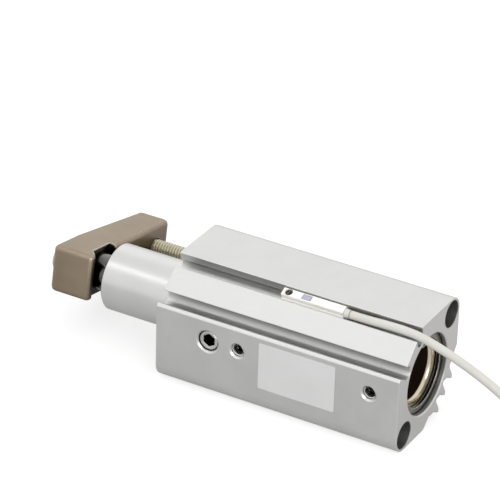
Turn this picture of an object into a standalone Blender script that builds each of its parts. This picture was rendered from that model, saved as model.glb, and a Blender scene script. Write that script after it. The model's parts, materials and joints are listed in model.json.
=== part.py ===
"""Swing clamp cylinder: a compact air cylinder whose rod turns its clamp arm through a quarter turn.

The cylinder lies on its side. X runs along the bore, with the rod end towards -X and the cable
end towards +X. All sizes are in metres. Inside this file a place is given from the centre of the
rear face on the bore axis, and one empty carries that frame to the finished origin, which is at
the middle of the bottom of the cylinder's box.
"""

import math

import bmesh
import bpy
from mathutils import Matrix, Vector

# Gaps between pieces that touch or run in each other
FIT = 0.0003
SEAL_FIT = 0.0002
CUTTER_OVER = 0.0010

# Strokes: the rod turns the arm through its swing, then pulls straight to clamp
CLAMP_STROKE = 0.0200
SWING_STROKE = 0.0095
SWING_ANGLE = math.radians(90.0)

# Tube: an extruded section with two mounting ears, two switch slots and a toothed rail
BORE_RADIUS = 0.0125
REAR_BORE_STEP = 0.0005
EAR_WEB = 0.0029
EAR_WALL = 0.0008
REAR_BORE_DEPTH = 0.0060
FRONT_WALL = 0.0030
BORE_CHAMFER = 0.0004
MOUNT_HOLE_RADIUS = 0.00275
MOUNT_POCKET_RADIUS = 0.0044
MOUNT_POCKET_DEPTH = 0.0070
BEVEL_ABOVE_POCKET = 0.0012
FRONT_LIP = 0.0008
FRONT_LIP_RISE = 0.0002
FLANK_INNER = 0.0010
FLANK_WALL = 0.0007
FLANK_MARGIN = 0.00075

# Switch slots: a mouth over a round pocket, each at an angle from straight up
SLOT_ANGLE = math.radians(22.5)
SECOND_SLOT_ANGLE = math.radians(61.5)
SLOT_MOUTH_HALF = 0.00205
SLOT_POCKET_RADIUS = 0.0022
SLOT_WALL = 0.0015
SLOT_LIP_HEIGHT = 0.0033

# Toothed rail on the lower far corner: three hooks along the diagonal
HOOK_PITCH = 0.0057
HOOK_COUNT = 3
HOOK_WALL = 0.0015
HOOK_HEIGHT = 0.0051

# Ports and the plug over the guide pin, on the near face
FRONT_PORT_FROM_COVER = 0.0020
REAR_PORT_FROM_PLATE = 0.0009
PORT_RADIUS = 0.0021
PORT_CHAMFER = 0.0006
PORT_DEPTH = 0.0045
PORT_DRILL_RADIUS = 0.0012
PIN_FROM_FRONT = 0.0182
PLUG_RADIUS = 0.0032
PLUG_CHAMFER = 0.0005
PLUG_ABOVE_BORE = 0.0008
PLUG_RECESS = 0.0007
PLUG_HEX = 0.0030
PLUG_HEX_DEPTH = 0.0030
PIN_RADIUS = 0.0020

# Rod cover: the round nose and the sleeve that fills the front of the bore
NOSE_STEP = 0.0017
NOSE_LENGTH = 0.0257
NOSE_CHAMFER = 0.0004
COVER_GROOVE_FROM_PIN = 0.0052
COVER_END_FROM_GROOVE = 0.0031
O_RING_RADIUS = 0.0007
BUSHING_WALL = 0.0013
BUSHING_FRONT = 0.0110
BUSHING_PIN_GAP = 0.0029
SEAL_WALL = 0.0023
SEAL_LENGTH = 0.0031
SEAL_FRONT = 0.0052
SCRAPER_WALL = 0.0017
SCRAPER_LENGTH = 0.0028
SLEEVE_CHAMFER = 0.0002
BUMPER_THICKNESS = 0.0020
BUMPER_ROD_GAP = 0.0021
BUMPER_BORE_GAP = 0.0013

# Rear plate and the ring that holds it
PLATE_THICKNESS = 0.0058
PLATE_RIM = 0.0025
PLATE_RECESS_DEPTH = 0.0017
PLATE_RECESS_FILLET = 0.0009
RING_DEPTH = 0.0017
RING_THICKNESS = 0.0012
RING_WIDTH = 0.0022
RING_BITE = 0.0003
RING_GROOVE = 0.0006
RING_TURN = math.radians(-60.0)
RING_OPEN_ANGLE = math.radians(46.0)
RING_LUG_ANGLE = math.radians(15.0)
RING_LUG_DEPTH = 0.0038
RING_LUG_HOLE = 0.0007

# Piston and rod
REAR_BUMPER_THICKNESS = 0.0010
STROKE_CLEARANCE = 0.0006
PISTON_BORE = 0.0043
NUT_ACROSS = 0.0100
NUT_THICKNESS = 0.0040
WEAR_RING_WIDTH = 0.0030
WEAR_RING_WALL = 0.0008
PISTON_SEAL_WIDTH = 0.0024
PISTON_SEAL_WALL = 0.0022
MAGNET_WIDTH = 0.0026
MAGNET_WALL = 0.0024
PISTON_LAND = 0.0014
ROD_RADIUS = 0.0060
ROD_SHOULDER = 0.0020
CAM_DEPTH = 0.0016
CAM_WIDTH = 0.0036

# Clamp arm, with its length running away from the rod
ARM_GAP = 0.0046
ARM_TILT = math.radians(-10.2)
ARM_THICKNESS = 0.0145
ARM_END_THICKNESS = 0.0113
ARM_HEIGHT = 0.0156
ARM_SHORT_REACH = 0.0094
ARM_LONG_REACH = 0.0380
ARM_TAPER_START = 0.0044
ARM_EDGE_RADIUS = 0.0017
ARM_POCKET_DEPTH = 0.0038
ARM_POCKET_RADIUS = 0.0052
NOTCH_DEPTH = 0.0026
ROD_FLATS = 0.0100
ROD_FLAT_LENGTH = 0.0035
SPIGOT_RADIUS = 0.0037
ARM_SCREW_RADIUS = 0.0025
ARM_SCREW_LENGTH = 0.0120
ARM_SCREW_HEAD_RADIUS = 0.0043
ARM_SCREW_HEAD_HEIGHT = 0.0050
ARM_SCREW_HEX = 0.0040
WASHER_THICKNESS = 0.0012
WASHER_RADIUS = 0.0046
WASHER_SPLIT = 0.0009
BOLT_FROM_END = 0.0074
BOLT_RADIUS = 0.0029
BOLT_OUT = 0.0125
BOLT_TIP_RADIUS = 0.0020
BOLT_TIP_LENGTH = 0.0016
BOLT_TAIL = 0.0015
BOLT_HEX = 0.0030
CLAMP_NUT_ACROSS = 0.0100
CLAMP_NUT_THICKNESS = 0.0032
NUT_SEAT_DEPTH = 0.0007
NUT_SEAT_RADIUS = 0.0064

# Switch in the first slot
SWITCH_FRONT_X = -0.0465
SWITCH_LENGTH = 0.0212
SWITCH_ABOVE_POCKET = 0.0032
SWITCH_EDGE = 0.0002
SWITCH_HEAD_WIDTH = 0.0028
SWITCH_SCREW_FROM_FRONT = 0.0021
SWITCH_SCREW_RADIUS = 0.0011
SWITCH_SCREW_DEPTH = 0.0022
LAMP_FROM_FRONT = 0.0083
LAMP_LENGTH = 0.0029
LAMP_WIDTH = 0.0016
LAMP_DEPTH = 0.0006
BOOT_LENGTH = 0.0016
BOOT_RADIUS = 0.0015

# Cable: 0.5 m of round lead, most of it in a coil on the surface that the cylinder lies on
CABLE_DIAMETER = 0.0027
CABLE_ABOVE_POCKET = 0.0020
COIL_RADIUS = 0.0150
COIL_LANES = 5
COIL_TURNS = 4.2
LEAD_DROP = 0.0009
LEAD_LIFT = 0.0001
COIL_CENTRE_X = 0.0740
LEAD_DIAMETER = 0.0010
LEAD_LENGTH = 0.0200
LEAD_SPACING = 0.0012
LEAD_SPREAD = 0.0022

# Facets of round work
BORE_FACETS = 40
SMALL_FACETS = 28
SCREW_FACETS = 24
ARC_STEPS = 5

# Places that follow from the sizes above, from the rear face towards the rod end
ROD_RUN = ROD_RADIUS + FIT
PIECE_IN_BORE = BORE_RADIUS - FIT
REAR_BORE_RADIUS = BORE_RADIUS + REAR_BORE_STEP
PISTON_LENGTH = WEAR_RING_WIDTH + PISTON_SEAL_WIDTH + MAGNET_WIDTH + 3 * PISTON_LAND + 6 * FIT
PLATE_BACK_X = -RING_DEPTH - RING_THICKNESS - FIT
PLATE_FRONT_X = PLATE_BACK_X - PLATE_THICKNESS
PISTON_BACK_X = PLATE_FRONT_X - REAR_BUMPER_THICKNESS - 2 * FIT
PISTON_FRONT_X = PISTON_BACK_X - PISTON_LENGTH
BUMPER_X = PISTON_FRONT_X - CLAMP_STROKE - SWING_STROKE - STROKE_CLEARANCE - BUMPER_THICKNESS
COVER_END_X = BUMPER_X - FIT
COVER_GROOVE_X = COVER_END_X - COVER_END_FROM_GROOVE
PIN_X = COVER_GROOVE_X - COVER_GROOVE_FROM_PIN
BODY_LENGTH = PIN_FROM_FRONT - PIN_X
FRONT_PORT_X = COVER_END_X + FRONT_PORT_FROM_COVER
REAR_PORT_X = PLATE_FRONT_X - REAR_PORT_FROM_PLATE
NOSE_RADIUS = BORE_RADIUS - NOSE_STEP
NOSE_X = -BODY_LENGTH - NOSE_LENGTH
BUSHING_X = NOSE_X + BUSHING_FRONT
BUSHING_LENGTH = PIN_X - PIN_RADIUS - BUSHING_PIN_GAP - BUSHING_X
BUMPER_INNER = ROD_RUN + BUMPER_ROD_GAP
BUMPER_OUTER = BORE_RADIUS - BUMPER_BORE_GAP

# The section: ears outside the bore, then the faces at their outer sides
EAR_OFFSET = (BORE_RADIUS + EAR_WEB + MOUNT_POCKET_RADIUS) / math.sqrt(2)
EAR_RADIUS = MOUNT_POCKET_RADIUS + EAR_WALL
BODY_HALF = EAR_OFFSET + EAR_RADIUS
SLOT_POCKET_REACH = BORE_RADIUS + SLOT_WALL + SLOT_POCKET_RADIUS
SLOT_LIP_REACH = SLOT_POCKET_REACH + SLOT_LIP_HEIGHT
BEVEL_REACH = SLOT_POCKET_REACH + BEVEL_ABOVE_POCKET
HOOK_ROOT = BORE_RADIUS + HOOK_WALL
HOOK_TIP = HOOK_ROOT + HOOK_HEIGHT
FLANK_DEPTH = BORE_RADIUS + FLANK_WALL
FLANK_SPAN = HOOK_PITCH * HOOK_COUNT / 2 + FLANK_MARGIN
PLUG_LENGTH = BODY_HALF - PLUG_RECESS - BORE_RADIUS - PLUG_ABOVE_BORE
PLATE_RECESS_RADIUS = REAR_BORE_RADIUS - PLATE_RIM
RING_LUG_REACH = REAR_BORE_RADIUS - RING_LUG_DEPTH
SWITCH_TOP_REACH = SLOT_POCKET_REACH + SWITCH_ABOVE_POCKET
CABLE_SLOT_REACH = SLOT_POCKET_REACH + CABLE_ABOVE_POCKET

# The arm and what it carries
ARM_FACE_X = NOSE_X - ARM_GAP
ARM_BACK_X = ARM_FACE_X - ARM_THICKNESS
NOTCH_X = ARM_FACE_X - NOTCH_DEPTH
ARM_SEAT_X = ARM_BACK_X + ARM_POCKET_DEPTH
SCREW_HEAD_X = ARM_SEAT_X - WASHER_THICKNESS - 2 * FIT
SCREW_END_X = SCREW_HEAD_X - ARM_SCREW_HEAD_HEIGHT
BOLT_REACH = ARM_LONG_REACH - BOLT_FROM_END
NUT_SEAT_X = ARM_FACE_X - ARM_END_THICKNESS + NUT_SEAT_DEPTH - FIT
BOLT_END_X = NUT_SEAT_X - CLAMP_NUT_THICKNESS - BOLT_TAIL

# The finished origin and the surface that the cylinder lies on
LEFT_END_X = min(SCREW_END_X, BOLT_END_X)
ARM_FAR_Y = (
    (ARM_LONG_REACH - ARM_EDGE_RADIUS) * math.cos(ARM_TILT)
    - (ARM_HEIGHT / 2 - ARM_EDGE_RADIUS) * math.sin(ARM_TILT)
    + ARM_EDGE_RADIUS
)
ORIGIN_X = LEFT_END_X / 2
ORIGIN_Y = (ARM_FAR_Y - BODY_HALF) / 2
FLOOR_Z = -BODY_HALF
COIL_BUNDLE = CABLE_DIAMETER / 2 / math.sin(math.pi / COIL_LANES)
COIL_REACH = COIL_BUNDLE + CABLE_DIAMETER / 2
COIL_LANE = COIL_RADIUS + COIL_BUNDLE * math.cos(math.pi / 4)

# Colours are linear red, green and blue
ANODISED = ((0.62, 0.62, 0.64), 1.0, 0.38)
SATIN = ((0.72, 0.72, 0.72), 1.0, 0.28)
CHROMED = ((0.60, 0.60, 0.62), 1.0, 0.10)
NICKEL = ((0.22, 0.18, 0.13), 0.9, 0.38)
ZINC = ((0.66, 0.60, 0.42), 1.0, 0.35)
STEEL = ((0.45, 0.45, 0.45), 1.0, 0.35)
BLACK_STEEL = ((0.03, 0.03, 0.03), 0.8, 0.40)
BRONZE = ((0.40, 0.28, 0.13), 1.0, 0.32)
PLATE_METAL = ((0.34, 0.28, 0.19), 1.0, 0.25)
RUBBER = ((0.02, 0.02, 0.02), 0.0, 0.60)
URETHANE = ((0.30, 0.16, 0.05), 0.0, 0.50)
FERRITE = ((0.08, 0.08, 0.09), 0.3, 0.55)
WEAR_RESIN = ((0.12, 0.10, 0.08), 0.0, 0.50)
IVORY = ((0.84, 0.84, 0.76), 0.0, 0.42)
LAMP_LILAC = ((0.50, 0.48, 0.58), 0.0, 0.25)
SHEATH = ((0.78, 0.78, 0.73), 0.0, 0.50)
BROWN_LEAD = ((0.16, 0.06, 0.02), 0.0, 0.45)
BLUE_LEAD = ((0.02, 0.10, 0.42), 0.0, 0.45)


def clear_scene():
    for item in list(bpy.data.objects):
        bpy.data.objects.remove(item, do_unlink=True)


def make_empty(name, place=(0.0, 0.0, 0.0), turn=0.0, parent=None):
    """An empty turned about X, which carries pieces."""
    empty = bpy.data.objects.new(name, None)
    bpy.context.collection.objects.link(empty)
    empty.location = place
    empty.rotation_euler = (turn, 0.0, 0.0)
    empty.parent = parent
    return empty


def make_material(name, finish):
    colour, metallic, roughness = finish
    material = bpy.data.materials.new(name)
    material.use_nodes = True
    shader = material.node_tree.nodes["Principled BSDF"]
    shader.inputs["Base Color"].default_value = (*colour, 1.0)
    shader.inputs["Metallic"].default_value = metallic
    shader.inputs["Roughness"].default_value = roughness
    return material


def close_mesh(work):
    """Merges doubled points and turns every face outwards."""
    bmesh.ops.remove_doubles(work, verts=work.verts, dist=1e-7)
    bmesh.ops.recalc_face_normals(work, faces=work.faces)


def place_node(name, work, finish, parent):
    """Makes the named piece from a finished bmesh."""
    mesh = bpy.data.meshes.new(name)
    close_mesh(work)
    work.to_mesh(mesh)
    work.free()
    mesh.shade_smooth()
    mesh.set_sharp_from_angle(angle=math.radians(30.0))
    piece = bpy.data.objects.new(name, mesh)
    bpy.context.collection.objects.link(piece)
    piece.parent = parent
    mesh.materials.append(make_material(name, finish))
    return piece


def cut(piece, name, work):
    """Takes a bmesh out of a piece with an exact Boolean."""
    mesh = bpy.data.meshes.new(name)
    close_mesh(work)
    work.to_mesh(mesh)
    work.free()
    cutter = bpy.data.objects.new(name, mesh)
    bpy.context.collection.objects.link(cutter)
    cutter.parent = piece.parent
    cutter.hide_render = True
    cutter.display_type = "WIRE"
    boolean = piece.modifiers.new(name, "BOOLEAN")
    boolean.operation = "DIFFERENCE"
    boolean.solver = "EXACT"
    boolean.object = cutter


def turned(profile, facets):
    """Spins a closed profile of (x, radius) points about X. Points at radius 0 become poles."""
    work = bmesh.new()
    rings = []
    for x, radius in profile:
        if radius < 1e-9:
            rings.append([work.verts.new((x, 0.0, 0.0))])
            continue
        ring = []
        for index in range(facets):
            angle = 2 * math.pi * index / facets
            place = (x, radius * math.cos(angle), radius * math.sin(angle))
            ring.append(work.verts.new(place))
        rings.append(ring)
    for start, end in zip(rings, rings[1:] + rings[:1]):
        if len(start) == 1 and len(end) == 1:
            continue
        for index in range(facets):
            after = (index + 1) % facets
            corners = [
                start[index % len(start)],
                start[after % len(start)],
                end[after % len(end)],
                end[index % len(end)],
            ]
            work.faces.new(list(dict.fromkeys(corners)))
    return work


def stub(x_start, x_end, radius, facets=SMALL_FACETS):
    """A plain round bar along X."""
    return turned([(x_start, 0.0), (x_start, radius), (x_end, radius), (x_end, 0.0)], facets)


def prism(outline, x_start, x_end):
    """Extrudes a (y, z) outline along X."""
    work = bmesh.new()
    near = [work.verts.new((x_start, y, z)) for y, z in outline]
    far = [work.verts.new((x_end, y, z)) for y, z in outline]
    work.faces.new(near)
    work.faces.new(list(reversed(far)))
    for index in range(len(outline)):
        after = (index + 1) % len(outline)
        work.faces.new((near[index], near[after], far[after], far[index]))
    return work


def block(low, high):
    """A box between two corners."""
    outline = [(low[1], low[2]), (high[1], low[2]), (high[1], high[2]), (low[1], high[2])]
    return prism(outline, low[0], high[0])


def moved(work, matrix):
    work.transform(matrix)
    return work


def aimed(work, place, direction):
    """Turns a bmesh made along +X so that it points along a direction, and puts it in place."""
    turn = Vector((1.0, 0.0, 0.0)).rotation_difference(Vector(direction)).to_matrix().to_4x4()
    return moved(work, Matrix.Translation(Vector(place)) @ turn)


def arc(centre, radius, start, end, steps=ARC_STEPS):
    """Points of a round stretch in the (y, z) plane, both ends included."""
    points = []
    for index in range(steps + 1):
        angle = start + (end - start) * index / steps
        y = centre[0] + radius * math.cos(angle)
        z = centre[1] + radius * math.sin(angle)
        points.append((y, z))
    return points


def hexagon(across, turn=0.0):
    reach = across / 2 / math.cos(math.pi / 6)
    return arc((0.0, 0.0), reach, turn, turn + 2 * math.pi * 5 / 6, 5)


def slot_frame(angle):
    """Outward and sideways directions of a slot that leans from straight up towards -Y."""
    outward = Vector((-math.sin(angle), math.cos(angle)))
    sideways = Vector((-math.cos(angle), -math.sin(angle)))
    return outward, sideways


def flat_reach(angle, side, tilt, height):
    """How far out a slot's wall meets the flat face that leans by tilt and lies at a height."""
    across = side * SLOT_MOUTH_HALF
    return (height + across * math.sin(angle - tilt)) / math.cos(angle - tilt)


def slot_outline(angle, upper_reach, lower_reach):
    """Upper lip, round pocket and lower lip of a slot, in the order that the section is drawn."""
    outward, sideways = slot_frame(angle)
    neck = math.asin((SLOT_MOUTH_HALF - FIT / 2) / SLOT_POCKET_RADIUS)
    points = [outward * upper_reach - sideways * SLOT_MOUTH_HALF]
    steps = 2 * ARC_STEPS
    for index in range(steps + 1):
        bearing = -neck - (2 * math.pi - 2 * neck) * index / steps
        spot = outward * math.cos(bearing) + sideways * math.sin(bearing)
        points.append(outward * SLOT_POCKET_REACH + spot * SLOT_POCKET_RADIUS)
    points.append(outward * lower_reach + sideways * SLOT_MOUTH_HALF)
    return [tuple(point) for point in points]


def diagonal(along, reach):
    """A point of the toothed corner: along the diagonal face, and out from the bore axis."""
    return ((reach + along) / math.sqrt(2), (along - reach) / math.sqrt(2))


def hook_outline(middle):
    """One hook of the rail: a flank with an undercut below the tip, and a steep back."""
    lip = HOOK_TIP - HOOK_ROOT
    shape = [
        (-0.63, 0.00),
        (-0.37, 0.27),
        (-0.20, 0.39),
        (-0.27, 0.63),
        (-0.14, 1.00),
        (0.03, 0.88),
        (0.21, 0.12),
        (0.32, 0.00),
    ]
    return [diagonal(middle + HOOK_PITCH * a, HOOK_ROOT + lip * r) for a, r in shape]


def tube_outline():
    """The extruded section, from the upper ear over the near face to the toothed corner."""
    ear = EAR_OFFSET
    points = arc((ear, ear), EAR_RADIUS, 0.0, math.pi / 2)
    slope = math.pi / 4
    top_reach = flat_reach(SLOT_ANGLE, -1, 0.0, BODY_HALF)
    bevel_start = flat_reach(SLOT_ANGLE, 1, slope, BEVEL_REACH)
    bevel_end = flat_reach(SECOND_SLOT_ANGLE, -1, slope, BEVEL_REACH)
    points += slot_outline(SLOT_ANGLE, top_reach, bevel_start)
    points += slot_outline(SECOND_SLOT_ANGLE, bevel_end, SLOT_LIP_REACH)
    lip_z = points[-1][1] + FRONT_LIP_RISE
    points.append((-BODY_HALF + FRONT_LIP, lip_z))
    points.append((-BODY_HALF, lip_z - FRONT_LIP))
    points += arc((-ear, -ear), EAR_RADIUS, math.pi, 1.5 * math.pi)
    points.append((-FLANK_INNER, -BODY_HALF))
    points.append(diagonal(-FLANK_SPAN - FIT, FLANK_DEPTH))
    for index in range(HOOK_COUNT):
        points += hook_outline(HOOK_PITCH * (index - (HOOK_COUNT - 1) / 2))
    points.append((BODY_HALF, FLANK_INNER))
    return points


def stepped_hole(depth, radius, chamfer, through, drill):
    """A drilled hole along +X from its mouth: chamfer, thread length, then a finer drill."""
    profile = [
        (-CUTTER_OVER, 0.0),
        (-CUTTER_OVER, radius + chamfer),
        (0.0, radius + chamfer),
        (chamfer, radius),
        (depth, radius),
        (depth, drill),
        (through, drill),
        (through, 0.0),
    ]
    return turned(profile, SCREW_FACETS)


def make_tube(frame):
    tube = place_node("cylinder_tube", prism(tube_outline(), -BODY_LENGTH, 0.0), ANODISED, frame)
    wall_x = -BODY_LENGTH + FRONT_WALL
    groove = REAR_BORE_RADIUS + RING_GROOVE
    groove_near = -RING_DEPTH + FIT
    groove_far = -RING_DEPTH - RING_THICKNESS - FIT / 2
    bore = [
        (CUTTER_OVER, 0.0),
        (CUTTER_OVER, REAR_BORE_RADIUS + BORE_CHAMFER),
        (0.0, REAR_BORE_RADIUS + BORE_CHAMFER),
        (-BORE_CHAMFER, REAR_BORE_RADIUS),
        (groove_near, REAR_BORE_RADIUS),
        (groove_near, groove),
        (groove_far, groove),
        (groove_far, REAR_BORE_RADIUS),
        (-REAR_BORE_DEPTH, REAR_BORE_RADIUS),
        (-REAR_BORE_DEPTH, BORE_RADIUS),
        (wall_x, BORE_RADIUS),
        (wall_x, NOSE_RADIUS + FIT),
        (-BODY_LENGTH - CUTTER_OVER, NOSE_RADIUS + FIT),
        (-BODY_LENGTH - CUTTER_OVER, 0.0),
    ]
    cut(tube, "bore_cutter", turned(bore, BORE_FACETS))
    for index, side in enumerate((1, -1)):
        pocket = MOUNT_POCKET_RADIUS
        hole = [
            (CUTTER_OVER, 0.0),
            (CUTTER_OVER, pocket),
            (-MOUNT_POCKET_DEPTH, pocket),
            (-MOUNT_POCKET_DEPTH, MOUNT_HOLE_RADIUS),
            (-BODY_LENGTH + MOUNT_POCKET_DEPTH, MOUNT_HOLE_RADIUS),
            (-BODY_LENGTH + MOUNT_POCKET_DEPTH, pocket),
            (-BODY_LENGTH - CUTTER_OVER, pocket),
            (-BODY_LENGTH - CUTTER_OVER, 0.0),
        ]
        ear = Matrix.Translation((0.0, side * EAR_OFFSET, side * EAR_OFFSET))
        cut(tube, f"mount_cutter_{index}", moved(turned(hole, SCREW_FACETS), ear))
    inward = (0.0, 1.0, 0.0)
    through = BODY_HALF - BORE_RADIUS + CUTTER_OVER
    for name, x in (("front_port_cutter", FRONT_PORT_X), ("rear_port_cutter", REAR_PORT_X)):
        hole = stepped_hole(PORT_DEPTH, PORT_RADIUS, PORT_CHAMFER, through, PORT_DRILL_RADIUS)
        cut(tube, name, aimed(hole, (x, -BODY_HALF, 0.0), inward))
    wide = PLUG_RADIUS + FIT
    hole = stepped_hole(PORT_DEPTH, wide, PLUG_CHAMFER, through, wide)
    cut(tube, "plug_cutter", aimed(hole, (PIN_X, -BODY_HALF, 0.0), inward))


def make_rod_cover(frame):
    shoulder_x = -BODY_LENGTH + FRONT_WALL + FIT
    groove_half = O_RING_RADIUS + SEAL_FIT + FIT
    groove_floor = BORE_RADIUS - 2 * (O_RING_RADIUS + SEAL_FIT)
    bushing = ROD_RUN + BUSHING_WALL + FIT
    bushing_x = BUSHING_X - FIT
    seal = ROD_RUN + SEAL_WALL + FIT
    seal_x = NOSE_X + SEAL_FRONT - FIT
    scraper = ROD_RUN + SCRAPER_WALL + FIT
    profile = [
        (NOSE_X, scraper),
        (NOSE_X, NOSE_RADIUS - NOSE_CHAMFER),
        (NOSE_X + NOSE_CHAMFER, NOSE_RADIUS),
        (shoulder_x, NOSE_RADIUS),
        (shoulder_x, PIECE_IN_BORE),
        (COVER_GROOVE_X - groove_half, PIECE_IN_BORE),
        (COVER_GROOVE_X - groove_half, groove_floor),
        (COVER_GROOVE_X + groove_half, groove_floor),
        (COVER_GROOVE_X + groove_half, PIECE_IN_BORE),
        (COVER_END_X, PIECE_IN_BORE),
        (COVER_END_X, bushing),
        (bushing_x, bushing),
        (bushing_x, ROD_RUN),
        (seal_x + SEAL_LENGTH + 2 * FIT, ROD_RUN),
        (seal_x + SEAL_LENGTH + 2 * FIT, seal),
        (seal_x, seal),
        (seal_x, ROD_RUN),
        (NOSE_X + SCRAPER_LENGTH + 2 * FIT, ROD_RUN),
        (NOSE_X + SCRAPER_LENGTH + 2 * FIT, scraper),
    ]
    cover = place_node("rod_cover", turned(profile, BORE_FACETS), SATIN, frame)
    hole = stub(ROD_RADIUS, BORE_RADIUS + FIT, PIN_RADIUS + FIT, SCREW_FACETS)
    cut(cover, "pin_cutter", aimed(hole, (PIN_X, 0.0, 0.0), (0.0, -1.0, 0.0)))
    ring_radius = BORE_RADIUS - SEAL_FIT - O_RING_RADIUS
    make_o_ring("cover_o_ring", COVER_GROOVE_X, ring_radius, frame)


def make_o_ring(name, x, radius, frame):
    section = []
    for index in range(6):
        angle = 2 * math.pi * index / 6
        reach = radius + O_RING_RADIUS * math.sin(angle)
        section.append((x + O_RING_RADIUS * math.cos(angle), reach))
    place_node(name, turned(section, SMALL_FACETS), RUBBER, frame)


def make_sleeve(name, x_start, length, inner, outer, finish, parent):
    """A plain ring or sleeve with small chamfers on its outer edges."""
    x_end = x_start + length
    chamfer = SLEEVE_CHAMFER
    profile = [
        (x_start, inner),
        (x_start, outer - chamfer),
        (x_start + chamfer, outer),
        (x_end - chamfer, outer),
        (x_end, outer - chamfer),
        (x_end, inner),
    ]
    return place_node(name, turned(profile, SMALL_FACETS), finish, parent)


def make_cover_fittings(frame):
    run = ROD_RUN
    make_sleeve("rod_bushing", BUSHING_X, BUSHING_LENGTH, run, run + BUSHING_WALL, BRONZE, frame)
    seal_x = NOSE_X + SEAL_FRONT
    lip = SEAL_LENGTH / 2
    seal = [
        (seal_x, run),
        (seal_x, run + SEAL_WALL),
        (seal_x + SEAL_LENGTH, run + SEAL_WALL),
        (seal_x + SEAL_LENGTH, run + 0.7 * SEAL_WALL),
        (seal_x + lip, run + 0.5 * SEAL_WALL),
        (seal_x + SEAL_LENGTH, run + 0.3 * SEAL_WALL),
        (seal_x + SEAL_LENGTH, run),
    ]
    place_node("rod_seal", turned(seal, SMALL_FACETS), RUBBER, frame)
    scraper_x = NOSE_X + FIT
    edge = SCRAPER_WALL / 3
    scraper = [
        (scraper_x, run + edge),
        (scraper_x, run + SCRAPER_WALL - edge),
        (scraper_x + edge, run + SCRAPER_WALL),
        (scraper_x + SCRAPER_LENGTH, run + SCRAPER_WALL),
        (scraper_x + SCRAPER_LENGTH, run),
        (scraper_x + edge, run),
    ]
    place_node("rod_scraper", turned(scraper, SMALL_FACETS), BRONZE, frame)
    inner, outer = BUMPER_INNER, BUMPER_OUTER
    make_sleeve("front_bumper", BUMPER_X, BUMPER_THICKNESS, inner, outer, URETHANE, frame)
    outward = (0.0, -1.0, 0.0)
    plug_top = BODY_HALF - PLUG_RECESS
    plug_foot = plug_top - PLUG_LENGTH
    pin = [
        (ROD_RUN, 0.0),
        (ROD_RUN, PIN_RADIUS - 2 * FIT),
        (ROD_RUN + 2 * FIT, PIN_RADIUS),
        (plug_foot - FIT, PIN_RADIUS),
        (plug_foot - FIT, 0.0),
    ]
    pin_place = (PIN_X, 0.0, 0.0)
    place_node("guide_pin", aimed(turned(pin, SCREW_FACETS), pin_place, outward), STEEL, frame)
    plug = [
        (plug_foot, 0.0),
        (plug_foot, PLUG_RADIUS - FIT),
        (plug_foot + FIT, PLUG_RADIUS),
        (plug_top - FIT, PLUG_RADIUS),
        (plug_top, PLUG_RADIUS - FIT),
        (plug_top, 0.0),
    ]
    plug_work = aimed(turned(plug, SCREW_FACETS), pin_place, outward)
    screw = place_node("guide_pin_plug", plug_work, BLACK_STEEL, frame)
    socket = prism(hexagon(PLUG_HEX), plug_top - PLUG_HEX_DEPTH, plug_top + FIT)
    cut(screw, "plug_hex_cutter", aimed(socket, pin_place, outward))


def make_rear_plate(frame):
    flange_radius = REAR_BORE_RADIUS - FIT
    seat_x = -REAR_BORE_DEPTH + FIT
    recess_x = PLATE_BACK_X - PLATE_RECESS_DEPTH
    groove_middle = (seat_x + PLATE_FRONT_X) / 2 - FIT
    groove_half = O_RING_RADIUS + SEAL_FIT
    groove_floor = BORE_RADIUS - 2 * (O_RING_RADIUS + SEAL_FIT)
    profile = [(recess_x, 0.0)]
    fillet = PLATE_RECESS_FILLET
    for index in range(4):
        angle = math.pi / 2 * index / 3
        x = recess_x + fillet * (1 - math.cos(angle))
        profile.append((x, PLATE_RECESS_RADIUS - fillet * (1 - math.sin(angle))))
    profile += [
        (PLATE_BACK_X, PLATE_RECESS_RADIUS),
        (PLATE_BACK_X, flange_radius),
        (seat_x, flange_radius),
        (seat_x, PIECE_IN_BORE),
        (groove_middle + groove_half, PIECE_IN_BORE),
        (groove_middle + groove_half, groove_floor),
        (groove_middle - groove_half, groove_floor),
        (groove_middle - groove_half, PIECE_IN_BORE),
        (PLATE_FRONT_X, PIECE_IN_BORE),
        (PLATE_FRONT_X, 0.0),
    ]
    place_node("rear_plate", turned(profile, BORE_FACETS), PLATE_METAL, frame)
    ring_radius = BORE_RADIUS - SEAL_FIT - O_RING_RADIUS
    make_o_ring("plate_o_ring", groove_middle, ring_radius, frame)


def make_retaining_ring(frame):
    """An internal ring with a lug and a plier hole at each side of its opening."""
    turn = Matrix.Rotation(RING_TURN, 4, "X")
    outer = REAR_BORE_RADIUS + RING_BITE
    inner = outer - RING_WIDTH
    gap = RING_OPEN_ANGLE / 2
    lug = gap + RING_LUG_ANGLE
    centre = (0.0, 0.0)
    points = arc(centre, outer, -math.pi + gap, math.pi - gap, BORE_FACETS)
    points += arc(centre, RING_LUG_REACH, math.pi - gap, math.pi - lug, 2)
    points += arc(centre, inner, math.pi - lug, -math.pi + lug, BORE_FACETS)
    points += arc(centre, RING_LUG_REACH, -math.pi + lug, -math.pi + gap, 2)
    x_end = -RING_DEPTH
    work = moved(prism(points, x_end - RING_THICKNESS, x_end), turn)
    ring = place_node("retaining_ring", work, BLACK_STEEL, frame)
    middle = math.pi - (gap + lug) / 2
    reach = (RING_LUG_REACH + inner) / 2
    for index, side in enumerate((1, -1)):
        spot = Matrix.Translation((0.0, reach * math.cos(middle), side * reach * math.sin(middle)))
        hole = stub(x_end - 2 * RING_THICKNESS, x_end + RING_THICKNESS, RING_LUG_HOLE, 12)
        cut(ring, f"lug_cutter_{index}", moved(hole, turn @ spot))


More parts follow.
